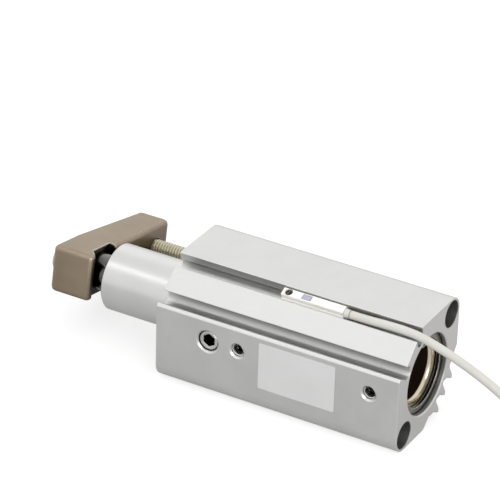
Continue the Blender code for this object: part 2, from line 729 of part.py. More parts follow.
def make_piston(stroke_axis):
    """Piston with its wear ring, seal and magnet, each in a groove of its own."""
    rings = [
        ("wear_ring", WEAR_RING_WIDTH, WEAR_RING_WALL, WEAR_RESIN),
        ("piston_seal", PISTON_SEAL_WIDTH, PISTON_SEAL_WALL, RUBBER),
        ("piston_magnet", MAGNET_WIDTH, MAGNET_WALL, FERRITE),
    ]
    nut_x = PISTON_BACK_X - NUT_THICKNESS - 2 * FIT
    nut_radius = NUT_ACROSS / 2 / math.cos(math.pi / 6) + FIT
    profile = [(nut_x, PISTON_BORE), (nut_x, nut_radius), (PISTON_BACK_X, nut_radius)]
    profile.append((PISTON_BACK_X, PIECE_IN_BORE))
    x = PISTON_BACK_X - PISTON_LAND
    for name, width, wall, finish in rings:
        floor = PIECE_IN_BORE - wall - FIT
        end = x - width - 2 * FIT
        profile += [(x, PIECE_IN_BORE), (x, floor), (end, floor), (end, PIECE_IN_BORE)]
        make_sleeve(name, end + FIT, width, floor + FIT, PIECE_IN_BORE, finish, stroke_axis)
        x = end - PISTON_LAND / 2
    shoulder_x = PISTON_FRONT_X + ROD_SHOULDER
    profile += [
        (PISTON_FRONT_X, PIECE_IN_BORE),
        (PISTON_FRONT_X, ROD_RUN),
        (shoulder_x, ROD_RUN),
        (shoulder_x, PISTON_BORE),
    ]
    place_node("piston", turned(profile, SMALL_FACETS), ANODISED, stroke_axis)
    bumper_x = PISTON_BACK_X + FIT
    thickness = REAR_BUMPER_THICKNESS
    make_sleeve("rear_bumper", bumper_x, thickness, BUMPER_INNER, BUMPER_OUTER, URETHANE, stroke_axis)


def cam_straight():
    """Cutter for the straight part of the groove, as long as the clamp stroke, on the near side."""
    half = CAM_WIDTH / 2
    points = arc((PIN_X, 0.0), half, math.pi / 2, 1.5 * math.pi, 8)
    points += arc((PIN_X + CLAMP_STROKE, 0.0), half, -math.pi / 2, math.pi / 2, 8)
    work = prism(points, ROD_RADIUS - CAM_DEPTH, ROD_RADIUS + CAM_DEPTH)
    return moved(work, Matrix.Rotation(-math.pi / 2, 4, "Z"))


def cam_turn():
    """Cutter for the quarter turn, with round ends, swept round the rod over the swing stroke."""
    half = CAM_WIDTH / 2
    floor = ROD_RADIUS - CAM_DEPTH
    top = ROD_RADIUS + CAM_DEPTH
    steps = 16
    length = math.hypot(SWING_STROKE, ROD_RADIUS * SWING_ANGLE)
    run = Vector((SWING_STROKE / length, -ROD_RADIUS * SWING_ANGLE / length))
    stations = [(-half * math.cos(a), math.sin(a)) for a in (0.1, 0.5, 0.9, 1.25)]
    stations += [(length * index / steps, 1.0) for index in range(steps + 1)]
    stations += [(length + half * math.cos(a), math.sin(a)) for a in (1.25, 0.9, 0.5, 0.1)]
    work = bmesh.new()
    rings = []
    for along, share in stations:
        x = PIN_X + CLAMP_STROKE + run[0] * along
        angle = -math.pi + run[1] * along / ROD_RADIUS
        ring = []
        for reach, sign in ((floor, 1), (top, 1), (top, -1), (floor, -1)):
            side = sign * half * share
            bearing = angle + run[0] * side / ROD_RADIUS
            place = (x - run[1] * side, reach * math.cos(bearing), reach * math.sin(bearing))
            ring.append(work.verts.new(place))
        rings.append(ring)
    work.faces.new(rings[0])
    work.faces.new(list(reversed(rings[-1])))
    for start, end in zip(rings, rings[1:]):
        for index in range(4):
            after = (index + 1) % 4
            work.faces.new((start[index], start[after], end[after], end[index]))
    bmesh.ops.triangulate(work, faces=work.faces)
    return work


def make_rod(swing_axis, arm_frame):
    spigot_end = ARM_SEAT_X + FIT
    shoulder_x = PISTON_FRONT_X + ROD_SHOULDER - FIT
    tail_radius = PISTON_BORE - FIT
    nut_x = PISTON_BACK_X - NUT_THICKNESS - FIT
    tail_end = nut_x + NUT_THICKNESS
    hole = ARM_SCREW_RADIUS + FIT
    hole_end = SCREW_HEAD_X + ARM_SCREW_LENGTH + FIT
    profile = [
        (hole_end, 0.0),
        (hole_end, hole),
        (spigot_end, hole),
        (spigot_end, SPIGOT_RADIUS),
        (NOTCH_X + FIT, SPIGOT_RADIUS),
        (NOTCH_X + FIT, ROD_RADIUS - FIT),
        (NOTCH_X + 2 * FIT, ROD_RADIUS),
        (shoulder_x, ROD_RADIUS),
        (shoulder_x, tail_radius),
        (tail_end, tail_radius),
        (tail_end, 0.0),
    ]
    rod = place_node("piston_rod", turned(profile, SMALL_FACETS), CHROMED, swing_axis)
    for index, side in enumerate((1, -1)):
        low = side * (ROD_FLATS / 2 - FIT)
        high = side * 2 * ROD_RADIUS
        flat = block(
            (NOTCH_X - FIT, min(low, high), -2 * ROD_RADIUS),
            (NOTCH_X + ROD_FLAT_LENGTH, max(low, high), 2 * ROD_RADIUS),
        )
        cut(rod, f"flat_cutter_{index}", moved(flat, Matrix.Rotation(ARM_TILT, 4, "X")))
    cut(rod, "cam_straight_cutter", cam_straight())
    cut(rod, "cam_turn_cutter", cam_turn())
    nut = prism(hexagon(NUT_ACROSS), nut_x, nut_x + NUT_THICKNESS - FIT)
    piece = place_node("piston_nut", nut, STEEL, swing_axis)
    cut(piece, "nut_cutter", stub(nut_x - FIT, tail_end + FIT, tail_radius + FIT))
    make_arm_screw(arm_frame)


def make_arm(arm_frame):
    """Arm along +Y of its own frame: a tapered bar with rounded edges, a notch and two holes."""
    half = ARM_HEIGHT / 2
    corners = [
        (ARM_FACE_X, -ARM_SHORT_REACH),
        (ARM_FACE_X, ARM_LONG_REACH),
        (ARM_FACE_X - ARM_END_THICKNESS, ARM_LONG_REACH),
        (ARM_BACK_X, ARM_TAPER_START),
        (ARM_BACK_X, -ARM_SHORT_REACH),
    ]
    work = bmesh.new()
    low = [work.verts.new((x, y, -half)) for x, y in corners]
    high = [work.verts.new((x, y, half)) for x, y in corners]
    work.faces.new(low)
    work.faces.new(list(reversed(high)))
    for index in range(len(corners)):
        after = (index + 1) % len(corners)
        work.faces.new((low[index], low[after], high[after], high[index]))
    bmesh.ops.recalc_face_normals(work, faces=work.faces)
    bmesh.ops.bevel(
        work,
        geom=list(work.edges),
        offset=ARM_EDGE_RADIUS,
        segments=4,
        profile=0.5,
        affect="EDGES",
    )
    arm = place_node("clamp_arm", work, NICKEL, arm_frame)
    side = ROD_FLATS / 2
    notch = [
        (NOTCH_X, -side),
        (NOTCH_X, side),
        (ARM_FACE_X + NOTCH_DEPTH, side),
        (ARM_FACE_X + NOTCH_DEPTH, -side - 2 * NOTCH_DEPTH),
    ]
    groove = bmesh.new()
    low = [groove.verts.new((x, y, -ARM_HEIGHT)) for x, y in notch]
    high = [groove.verts.new((x, y, ARM_HEIGHT)) for x, y in notch]
    groove.faces.new(low)
    groove.faces.new(list(reversed(high)))
    for index in range(len(notch)):
        after = (index + 1) % len(notch)
        groove.faces.new((low[index], low[after], high[after], high[index]))
    cut(arm, "notch_cutter", groove)
    cut(arm, "rod_hole_cutter", stub(ARM_BACK_X - FIT, ARM_FACE_X + FIT, SPIGOT_RADIUS + FIT))
    bolt = Matrix.Translation((0.0, BOLT_REACH, 0.0))
    hole = stub(ARM_BACK_X - FIT, ARM_FACE_X + FIT, BOLT_RADIUS + FIT, SCREW_FACETS)
    cut(arm, "bolt_hole_cutter", moved(hole, bolt))
    seat = stub(ARM_BACK_X - NUT_SEAT_RADIUS, NUT_SEAT_X + FIT, NUT_SEAT_RADIUS)
    cut(arm, "nut_seat_cutter", moved(seat, bolt))
    pocket = stub(ARM_BACK_X - ARM_POCKET_DEPTH, ARM_SEAT_X, ARM_POCKET_RADIUS)
    cut(arm, "screw_pocket_cutter", pocket)


def make_arm_screw(arm_frame):
    head = ARM_SCREW_HEAD_RADIUS
    profile = [
        (SCREW_END_X, 0.0),
        (SCREW_END_X, head - FIT),
        (SCREW_END_X + FIT, head),
        (SCREW_HEAD_X, head),
        (SCREW_HEAD_X, ARM_SCREW_RADIUS),
        (SCREW_HEAD_X + ARM_SCREW_LENGTH, ARM_SCREW_RADIUS),
        (SCREW_HEAD_X + ARM_SCREW_LENGTH, 0.0),
    ]
    screw = place_node("arm_screw", turned(profile, SCREW_FACETS), BLACK_STEEL, arm_frame)
    socket_end = SCREW_END_X + ARM_SCREW_HEAD_HEIGHT / 2
    socket = prism(hexagon(ARM_SCREW_HEX), SCREW_END_X - FIT, socket_end)
    cut(screw, "arm_hex_cutter", socket)
    inner = ARM_SCREW_RADIUS + FIT
    washer_x = SCREW_HEAD_X + FIT
    washer = turned(
        [
            (washer_x, inner),
            (washer_x, WASHER_RADIUS),
            (washer_x + WASHER_THICKNESS, WASHER_RADIUS),
            (washer_x + WASHER_THICKNESS, inner),
        ],
        SMALL_FACETS,
    )
    piece = place_node("arm_spring_washer", washer, STEEL, arm_frame)
    split = block(
        (washer_x - FIT, 0.0, -WASHER_SPLIT / 2),
        (washer_x + WASHER_THICKNESS + FIT, 2 * WASHER_RADIUS, WASHER_SPLIT / 2),
    )
    cut(piece, "washer_split_cutter", split)


def make_clamp_bolt(arm_frame):
    """Threaded clamp bolt with a plain tip towards the cylinder, and its lock nut."""
    place = Matrix.Translation((0.0, BOLT_REACH, 0.0))
    tip_x = ARM_FACE_X + BOLT_OUT
    seat_x = NUT_SEAT_X
    tail_x = BOLT_END_X
    root = BOLT_RADIUS - BOLT_TIP_RADIUS
    profile = [
        (tail_x, 0.0),
        (tail_x, BOLT_RADIUS - FIT),
        (tail_x + FIT, BOLT_RADIUS),
        (tip_x - BOLT_TIP_LENGTH - root, BOLT_RADIUS),
        (tip_x - BOLT_TIP_LENGTH, BOLT_TIP_RADIUS),
        (tip_x, BOLT_TIP_RADIUS),
        (tip_x, 0.0),
    ]
    bolt = place_node("clamp_bolt", moved(turned(profile, SCREW_FACETS), place), ZINC, arm_frame)
    socket = prism(hexagon(BOLT_HEX), tail_x - FIT, tail_x + BOLT_HEX)
    cut(bolt, "bolt_hex_cutter", moved(socket, place))
    nut = moved(prism(hexagon(CLAMP_NUT_ACROSS), seat_x - CLAMP_NUT_THICKNESS, seat_x), place)
    piece = place_node("clamp_nut", nut, ZINC, arm_frame)
    hole = stub(seat_x - 2 * CLAMP_NUT_THICKNESS, seat_x + FIT, BOLT_RADIUS + FIT, SCREW_FACETS)
    cut(piece, "clamp_nut_cutter", moved(hole, place))


def in_slot(x, sideways_offset, reach):
    """A place in the first slot, given from its middle plane and out from the bore axis."""
    outward, sideways = slot_frame(SLOT_ANGLE)
    spot = outward * reach + sideways * sideways_offset
    return (x, spot[0], spot[1])


def make_switch(frame):
    """Position switch: round belly in the slot's pocket, and a narrow head at the upper wall."""
    outward, sideways = slot_frame(SLOT_ANGLE)
    belly = SLOT_POCKET_RADIUS - FIT
    upper = FIT - SLOT_MOUTH_HALF
    lower = upper + SWITCH_HEAD_WIDTH
    start = math.acos(lower / belly)
    end = math.acos(upper / belly) - 2 * math.pi
    points = []
    steps = 2 * ARC_STEPS
    for index in range(steps + 1):
        angle = start + (end - start) * index / steps
        spot = sideways * math.cos(angle) + outward * math.sin(angle)
        points.append(outward * SLOT_POCKET_REACH + spot * belly)
    points.append(outward * (SWITCH_TOP_REACH - SWITCH_EDGE) + sideways * upper)
    points.append(outward * SWITCH_TOP_REACH + sideways * (upper + SWITCH_EDGE))
    points.append(outward * SWITCH_TOP_REACH + sideways * (lower - SWITCH_EDGE))
    points.append(outward * (SWITCH_TOP_REACH - SWITCH_EDGE) + sideways * lower)
    middle = (upper + lower) / 2
    outline = [tuple(point) for point in points]
    back_x = SWITCH_FRONT_X + SWITCH_LENGTH
    body = place_node("switch_body", prism(outline, SWITCH_FRONT_X, back_x), IVORY, frame)
    up = (0.0, outward[0], outward[1])
    down = (0.0, -outward[0], -outward[1])
    screw_x = SWITCH_FRONT_X + SWITCH_SCREW_FROM_FRONT
    screw_foot = SWITCH_TOP_REACH - SWITCH_SCREW_DEPTH
    hole = stub(-FIT, SWITCH_SCREW_DEPTH + FIT, SWITCH_SCREW_RADIUS + FIT / 2, 16)
    cut(body, "switch_screw_cutter", aimed(hole, in_slot(screw_x, middle, SWITCH_TOP_REACH), down))
    length = SWITCH_SCREW_DEPTH - FIT
    screw = stub(0.0, length, SWITCH_SCREW_RADIUS, 16)
    screw = aimed(screw, in_slot(screw_x, middle, screw_foot), up)
    piece = place_node("switch_screw", screw, BLACK_STEEL, frame)
    groove = block(
        (SWITCH_SCREW_RADIUS / 2, -2 * SWITCH_SCREW_RADIUS, -FIT / 2),
        (2 * SWITCH_SCREW_RADIUS, 2 * SWITCH_SCREW_RADIUS, FIT / 2),
    )
    groove = moved(groove, Matrix.Translation((length - SWITCH_SCREW_RADIUS, 0.0, 0.0)))
    cut(piece, "switch_groove_cutter", aimed(groove, in_slot(screw_x, middle, screw_foot), up))
    lamp_x = SWITCH_FRONT_X + LAMP_FROM_FRONT
    lamp_place = in_slot(lamp_x, middle, SWITCH_TOP_REACH)
    window = block(
        (-LAMP_DEPTH - FIT, -LAMP_LENGTH / 2 - FIT / 2, -LAMP_WIDTH / 2 - FIT / 2),
        (FIT, LAMP_LENGTH / 2 + FIT / 2, LAMP_WIDTH / 2 + FIT / 2),
    )
    lens = block(
        (-LAMP_DEPTH, -LAMP_LENGTH / 2, -LAMP_WIDTH / 2),
        (0.0, LAMP_LENGTH / 2, LAMP_WIDTH / 2),
    )
    side = Vector((0.0, sideways[0], sideways[1]))
    axes = Matrix((Vector(up), Vector((1.0, 0.0, 0.0)), side)).transposed().to_4x4()
    turn = Matrix.Translation(Vector(lamp_place)) @ axes
    cut(body, "lamp_cutter", moved(window, turn))
    place_node("switch_lamp", moved(lens, turn), LAMP_LILAC, frame)
    boot = [
        (0.0, 0.0),
        (0.0, BOOT_RADIUS),
        (BOOT_LENGTH, CABLE_DIAMETER / 2),
        (BOOT_LENGTH, 0.0),
    ]
    boot_place = Matrix.Translation(in_slot(back_x + FIT, 0.0, CABLE_SLOT_REACH))
    place_node("switch_boot", moved(turned(boot, SCREW_FACETS), boot_place), SHEATH, frame)


def cable_route():
    """Points chosen along the cable, from the boot to where the coil begins."""
    exit_x = SWITCH_FRONT_X + SWITCH_LENGTH + 2 * FIT + BOOT_LENGTH
    rest = FLOOR_Z + CABLE_DIAMETER / 2
    dock = math.sqrt((COIL_RADIUS + COIL_REACH + FIT) ** 2 - (COIL_LANE - CABLE_DIAMETER / 2) ** 2)
    return [
        in_slot(exit_x, 0.0, CABLE_SLOT_REACH),
        (-0.0170, -0.0070, 0.0169),
        (-0.0110, -0.0071, 0.0172),
        (-0.0050, -0.0072, 0.0173),
        (0.0000, -0.0072, 0.0168),
        (0.0060, -0.0072, 0.0152),
        (0.0140, -0.0072, 0.0124),
        (0.0220, -0.0072, 0.0089),
        (0.0280, -0.0072, 0.0056),
        (0.0335, -0.0072, 0.0019),
        (0.0385, -0.0072, -0.0023),
        (0.0430, -0.0072, -0.0069),
        (0.0470, -0.0072, -0.0112),
        (0.0513, -0.0072, -0.0148),
        (0.0560, -0.0072, -0.0170),
        (0.0605, -0.0072, rest),
        (COIL_CENTRE_X - dock, -0.0072, rest),
    ]


def smooth_points(route, spacing):
    """Evenly spaced points of a Catmull-Rom curve through the route."""
    places = [Vector(place) for place in route]
    ends = [2 * places[0] - places[1]] + places + [2 * places[-1] - places[-2]]
    fine = []
    for index in range(1, len(ends) - 2):
        a, b, c, d = ends[index - 1 : index + 3]
        for step in range(20):
            t = step / 20
            point = 2 * b + (c - a) * t + (2 * a - 5 * b + 4 * c - d) * t**2
            point += (3 * b - a - 3 * c + d) * t**3
            fine.append(point / 2)
    fine.append(places[-1])
    total = sum((after - before).length for before, after in zip(fine, fine[1:]))
    count = max(2, round(total / spacing))
    result = [fine[0]]
    travelled = 0.0
    for before, after in zip(fine, fine[1:]):
        length = (after - before).length
        while len(result) < count and travelled + length >= total * len(result) / count:
            share = (total * len(result) / count - travelled) / length
            result.append(before.lerp(after, share))
        travelled += length
    result.append(fine[-1])
    return result


def make_tube_curve(name, points, diameter, finish, frame):
    curve = bpy.data.curves.new(name, "CURVE")
    curve.dimensions = "3D"
    curve.bevel_depth = diameter / 2
    curve.bevel_resolution = 2
    curve.use_fill_caps = True
    spline = curve.splines.new("POLY")
    spline.points.add(len(points) - 1)
    for spot, place in zip(spline.points, points):
        spot.co = (*place, 1.0)
    curve.materials.append(make_material(name, finish))
    piece = bpy.data.objects.new(name, curve)
    bpy.context.collection.objects.link(piece)
    piece.parent = frame


def make_cable(frame):
    route = cable_route()
    points = smooth_points(route, 2.5 * CABLE_DIAMETER)
    make_tube_curve("switch_cable", points, CABLE_DIAMETER, SHEATH, frame)
    centre_y = route[-1][1] + COIL_LANE
    profile = []
    for index in range(8):
        angle = math.pi / 8 + math.pi / 4 * index
        reach = COIL_REACH / math.cos(math.pi / 8)
        height = COIL_REACH + reach * math.sin(angle)
        profile.append((height, COIL_RADIUS + reach * math.cos(angle)))
    coil = turned(profile, SMALL_FACETS)
    coil = aimed(coil, (COIL_CENTRE_X, centre_y, FLOOR_Z), (0.0, 0.0, 1.0))
    place_node("cable_coil", coil, SHEATH, frame)
    make_leads(frame, centre_y)


def make_leads(frame, centre_y):
    """Two bare leads, which come down to the floor from where the cable leaves the coil."""
    bearing = -math.pi / 2 + 2 * math.pi * COIL_TURNS
    lane = -math.pi / 4 - 2 * math.pi * COIL_TURNS / COIL_LANES
    reach = COIL_RADIUS + COIL_BUNDLE * math.cos(lane)
    along = Vector((-math.sin(bearing), math.cos(bearing), 0.0))
    side = Vector((math.cos(bearing), math.sin(bearing), 0.0))
    height = FLOOR_Z + COIL_REACH + COIL_BUNDLE * math.sin(lane) - LEAD_DROP
    clear = COIL_RADIUS + COIL_REACH + FIT + LEAD_DIAMETER / 2
    tail = math.sqrt(clear**2 - (reach - LEAD_SPACING / 2) ** 2)
    end = Vector((COIL_CENTRE_X, centre_y, height)) + side * reach + along * tail
    rest = Vector((0.0, 0.0, FLOOR_Z + LEAD_DIAMETER / 2 + LEAD_LIFT - height))
    leads = (("cable_lead_brown", BROWN_LEAD), ("cable_lead_blue", BLUE_LEAD))
    for index, (name, finish) in enumerate(leads):
        near = side * LEAD_SPACING * (index - 0.5)
        far = side * LEAD_SPREAD * (2 * index - 1)
        route = [
            end + near,
            end + near + along * LEAD_LENGTH / 4 + rest / 4,
            end + (near + far) / 2 + along * LEAD_LENGTH / 2 + rest * 3 / 4,
            end + far + along * LEAD_LENGTH * 3 / 4 + rest,
            end + far + along * LEAD_LENGTH + rest,
        ]
        points = smooth_points(route, 2.5 * LEAD_DIAMETER)
        make_tube_curve(name, points, LEAD_DIAMETER, finish, frame)


def main():
    clear_scene()
    frame = make_empty("cylinder_frame", (-ORIGIN_X, -ORIGIN_Y, BODY_HALF))
    stroke_axis = make_empty("stroke_axis", parent=frame)
    swing_axis = make_empty("swing_axis", parent=stroke_axis)
    arm_frame = make_empty("arm_frame", turn=ARM_TILT, parent=swing_axis)
    make_tube(frame)
    make_rod_cover(frame)
    make_cover_fittings(frame)
    make_rear_plate(frame)
    make_retaining_ring(frame)
    make_piston(stroke_axis)
    make_rod(swing_axis, arm_frame)
    make_arm(arm_frame)
    make_clamp_bolt(arm_frame)
    make_switch(frame)
    make_cable(frame)
    bpy.context.view_layer.update()


main()
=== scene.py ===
"""Studio picture of a swing clamp cylinder that lies on a pale floor.

A place on the cylinder is written from the centre of the rear face on the bore axis, and
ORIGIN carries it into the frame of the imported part. All sizes are in metres.
"""

import json
import math

import bmesh
import bpy
from mathutils import Matrix, Vector


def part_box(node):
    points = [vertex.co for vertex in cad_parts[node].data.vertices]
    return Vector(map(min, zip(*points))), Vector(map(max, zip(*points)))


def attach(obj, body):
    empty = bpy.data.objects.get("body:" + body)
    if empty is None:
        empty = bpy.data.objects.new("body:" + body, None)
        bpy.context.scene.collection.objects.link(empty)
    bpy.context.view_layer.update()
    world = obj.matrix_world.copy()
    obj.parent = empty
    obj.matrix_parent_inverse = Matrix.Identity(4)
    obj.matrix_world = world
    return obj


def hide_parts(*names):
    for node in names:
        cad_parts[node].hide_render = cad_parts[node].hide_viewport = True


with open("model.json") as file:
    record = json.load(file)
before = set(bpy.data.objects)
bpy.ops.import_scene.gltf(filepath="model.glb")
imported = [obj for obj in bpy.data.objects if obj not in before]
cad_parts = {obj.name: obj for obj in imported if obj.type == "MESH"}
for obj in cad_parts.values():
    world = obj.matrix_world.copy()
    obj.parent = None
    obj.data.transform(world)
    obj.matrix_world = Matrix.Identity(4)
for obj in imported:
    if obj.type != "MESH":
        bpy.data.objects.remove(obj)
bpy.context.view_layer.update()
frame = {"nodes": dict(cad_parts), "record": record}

# Sizes of the part that the pieces here fit
FIT = 0.0003
BORE_RADIUS = 0.0125
EAR_WEB = 0.0029
BODY_HALF = 0.0192
POCKET_RADIUS = 0.0044
REAR_BORE_RADIUS = 0.0130
EAR_OFFSET = (BORE_RADIUS + EAR_WEB + POCKET_RADIUS) / math.sqrt(2)
ORIGIN = Vector((0.06565, -0.0096533, BODY_HALF))
ARM_TILT = math.radians(-10.2)
ARM_FACE_X = -0.1138

# Clamp bolt, with its tip, thread and socket
BOLT_REACH = 0.0306
BOLT_RADIUS = 0.0029
BOLT_OUT = 0.0125
BOLT_TIP_LENGTH = 0.0016
BOLT_TIP_RADIUS = 0.0020
BOLT_TAIL_X = -0.1294
BOLT_HEX = 0.0030
BOLT_FACETS = 48
THREAD_PITCH = 0.0010
THREAD_DEPTH = 0.00055
THREAD_STEPS_A_TURN = 10
THREAD_STEEPNESS = 1.35
THREAD_ROOT = 0.15
SOCKET_LIP = 0.00004

# Lock nut, whose corners are turned off outside its land
NUT_SEAT_X = -0.1247
NUT_THICKNESS = 0.0032
NUT_ACROSS = 0.0100
NUT_LAND = NUT_ACROSS / 2 * 0.97
NUT_SLOPE = math.tan(math.radians(30.0))
NUT_FACETS = 72

# Ports, each with a ridge for its thread that is partly sunk in the wall
PORTS_X = {"front": -0.0550, "rear": -0.0099}
PORT_RADIUS = 0.0021
PORT_DEPTH = 0.0045
PORT_PITCH = 0.0008
PORT_RIDGE = 0.3 * PORT_PITCH
PORT_RIDGE_START = 0.9 * PORT_PITCH
PORT_RIDGE_RADIUS = PORT_RADIUS - 0.00008
HELIX_STEPS_A_TURN = 40
RIDGE_SIDES = 4

# Plug over the guide pin: heights are from the bore axis
PLUG_RADIUS = 0.0032
PLUG_TOP = BODY_HALF - 0.0007
PLUG_FOOT = 0.0133
PLUG_ACROSS = 0.0038
PLUG_MOUTH = 0.0025
PLUG_SOCKET_DEPTH = 0.0030
PLUG_FACETS = 72

# Knurl round the arm screw's head
HEAD_RADIUS = 0.0043
HEAD_START_X = -0.1313
HEAD_HEIGHT = 0.0050
KNURL_RIDGE = 0.00017
KNURL_RADIUS = HEAD_RADIUS - 0.00005
KNURL_LENGTH = HEAD_HEIGHT - 4 * FIT
KNURL_COUNT = 64
KNURL_SIDES = 6

# Dished rear plate: radii from the bore axis, and places along it
DISH_FLOOR = 0.0095
DISH_RIM = 0.0105
DISH_DEPTH = 0.0017
DISH_STEPS = 10
PLATE_BACK_X = -0.0032
PLATE_SEAT_X = -0.0057
PLATE_FRONT_X = -0.0090
PLATE_FLANGE = 0.0127
PLATE_SPIGOT = 0.0122
PLATE_GROOVE = 0.0107
PLATE_GROOVE_X = (-0.0085, -0.0067)
PLATE_FACETS = 128

# Blank sticker on the near face
LABEL_X = (-0.0474, -0.0212)
LABEL_Z = (-0.0104, 0.0055)
LABEL_THICKNESS = 0.00012
LABEL_LIFT = 0.00002
LABEL_CORNER = 0.0006
LABEL_CORNER_STEPS = 6

# Cable: a 0.5 m lead from the switch to the coil on the floor
CABLE_DIAMETER = 0.0027
CABLE_EXIT = (-0.0231, -0.006965, 0.016815)
CABLE_ROUTE = [
    (-0.0170, -0.0070, 0.0169),
    (-0.0110, -0.0071, 0.0172),
    (-0.0050, -0.0072, 0.0173),
    (0.0000, -0.0072, 0.0168),
    (0.0060, -0.0072, 0.0152),
    (0.0140, -0.0072, 0.0124),
    (0.0220, -0.0072, 0.0089),
    (0.0280, -0.0072, 0.0056),
    (0.0335, -0.0072, 0.0019),
    (0.0385, -0.0072, -0.0023),
    (0.0430, -0.0072, -0.0069),
    (0.0470, -0.0072, -0.0112),
    (0.0513, -0.0072, -0.0148),
    (0.0560, -0.0072, -0.0170),
    (0.0605, -0.0072, -0.01780),
    (0.0665, -0.0072, -0.01775),
]
CURVE_STEPS = 6

# Coil: its turns change lanes round a bundle, which it enters at a bearing in the section
COIL_RADIUS = 0.0150
COIL_TURNS = 4.2
COIL_LANES = 5
COIL_STEPS_A_TURN = 24
COIL_BUNDLE = CABLE_DIAMETER / 2 / math.sin(math.pi / COIL_LANES)
COIL_REACH = COIL_BUNDLE + CABLE_DIAMETER / 2
COIL_ENTRY = math.radians(-45.0)
COIL_CENTRE_X = 0.0740
COIL_CENTRE_Y = CABLE_ROUTE[-1][1] + COIL_RADIUS + COIL_BUNDLE * math.cos(COIL_ENTRY)
COIL_CENTRE_Z = -BODY_HALF + COIL_REACH
TAIL_LENGTH = 0.0098
TAIL_SLOPE = -0.08
TAIL_SHARES = (0.34, 0.67, 1.0)

# Leads at the cable's end
LEAD_DIAMETER = 0.0010
LEAD_LENGTH = 0.0200
LEAD_SPACING = 0.0012
LEAD_SPREAD = 0.0022
LEAD_DROP = 0.0009
LEAD_LIFT = 0.0001
LEAD_BARE = 0.0050
STRANDS_DIAMETER = 0.6 * LEAD_DIAMETER

# Tie round the coil, with its lock
TIE_BEARING = math.radians(-45.0)
TIE_WIDTH = 0.0025
TIE_THICKNESS = 0.0004
TIE_FACETS = 40
LOCK_SIZE = (0.0032, 0.0036, 0.0024)
LOCK_SINK = 0.0002
LOCK_LEAN = math.radians(35.0)

# Camera, fitted to the straight edges of the photograph: turns in degrees, lens in mm
CAMERA_PLACE = (0.402741, -0.724846, 0.504675)
CAMERA_TURNS = (60.57886, -1.527095, 30.035835)
CAMERA_LENS = 222.83
CAMERA_SENSOR = 36.0
CAMERA_REACH = 20.0

# How much white the floor gives off to the camera, and the share of it that metal shows
FLOOR_GLOW = 0.68
MIRRORED_FLOOR = 0.35
FLOOR_HALF = 3.0
FLOOR_ROUGHNESS = 0.9
FLOOR_PATCHES = 40.0

# Light of the world by height, from 0 straight down to 1 straight up
WHITE = (1.0, 1.0, 1.0, 1.0)
SKY_BELOW = (0.40, (0.50, 0.50, 0.50, 1.0))
SKY_LEVEL = (0.57, (1.02, 1.02, 1.01, 1.0))
SKY_ABOVE = (1.0, WHITE)

# Shared by the finishes: stretches of the tool lines, and features in a metre
ALONG_BORE = (0.03, 1.0, 1.0)
ROUND_BORE = (1.0, 0.02, 0.02)
PATCHES = 90.0
COAT_ROUGHNESS = 0.25
SOFT_DEPTH = 0.001
# Samples and unevenness of the lightened edges, a painted highlight with some wear
EDGE_SAMPLES = 6
EDGE_UNEVEN = (-0.1, 0.15)
# Samples of the occlusion node that places the painted shade
SHADE_SAMPLES = 8
CUT_END_FACING = 0.9
# How far past its radius a hole's wall takes the darker colour of painted shade
HOLE_WALL = 0.00008

# Faces within a degree of one another are one patch. A patch up to 2.2 mm wide is taken for
# a facet of round work, which shades smoothly up to 32 degrees, and a wider one for flat.
FLAT_DOT = math.cos(math.radians(1.0))
SMOOTH_DOT = math.cos(math.radians(32.0))
FLAT_WIDTH = 0.0022

# Nodes whose shape is right: shown by a merged copy with smooth round faces
SHOWN = {
    "cylinder_tube": "anodised_extrusion",
    "rod_cover": "turned_aluminium",
    "piston_rod": "hard_chrome",
    "clamp_arm": "nickel_arm",
    "retaining_ring": "spring_steel",
    "rod_scraper": "sintered_bronze",
    "arm_screw": "bright_steel",
    "arm_spring_washer": "bright_steel",
    "switch_body": "ivory_housing",
    "switch_boot": "ivory_sheath",
    "switch_screw": "dark_steel",
    "switch_lamp": "lamp_window",
}

# Nodes out of sight: the node stays and takes a finish
HIDDEN = {
    "cover_o_ring": "black_rubber",
    "plate_o_ring": "black_rubber",
    "piston_seal": "black_rubber",
    "rod_seal": "black_rubber",
    "front_bumper": "tan_urethane",
    "rear_bumper": "tan_urethane",
    "guide_pin": "bright_steel",
    "piston": "turned_aluminium",
    "piston_magnet": "ferrite",
    "piston_nut": "bright_steel",
    "rod_bushing": "sintered_bronze",
    "wear_ring": "resin_ring",
}


# Places and colours

def at(x, y, z):
    """A place of the part's own frame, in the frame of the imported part."""
    return ORIGIN + Vector((x, y, z))


def along_bore(x, y=0.0, z=0.0):
    """Carries a piece made along +Z on its own axis to the bore's direction, at a place."""
    return Matrix.Translation(at(x, y, z)) @ Matrix.Rotation(math.pi / 2, 4, "Y")


def in_arm(x, reach):
    """The same for a piece on the arm, at a reach from the rod along the arm."""
    return along_bore(x, reach * math.cos(ARM_TILT), reach * math.sin(ARM_TILT))


def body_of(node):
    """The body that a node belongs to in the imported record."""
    for body, members in frame["record"]["behaviour"]["bodies"].items():
        if node in members:
            return body
    raise ValueError(f"no body has the node {node}")


def tone(red, green, blue):
    """Linear colour of a display colour from 0 to 255."""
    def linear(value):
        share = value / 255
        if share <= 0.04045:
            return share / 12.92
        return ((share + 0.055) / 1.055) ** 2.4
    return (linear(red), linear(green), linear(blue), 1.0)


# Small helpers for meshes and nodes

def add_node(tree, kind, inputs=(), **settings):
    """A node with its settings. An input is a plain value, or a socket that is linked to it."""
    node = tree.nodes.new(kind)
    for key, value in settings.items():
        setattr(node, key, value)
    for key, value in dict(inputs).items():
        if isinstance(value, bpy.types.NodeSocket):
            tree.links.new(value, node.inputs[key])
        else:
            node.inputs[key].default_value = value
    return node


def add_object(name, data, material=None):
    piece = bpy.data.objects.new(name, data)
    bpy.context.collection.objects.link(piece)
    if material is not None:
        data.materials.append(material)
    return piece


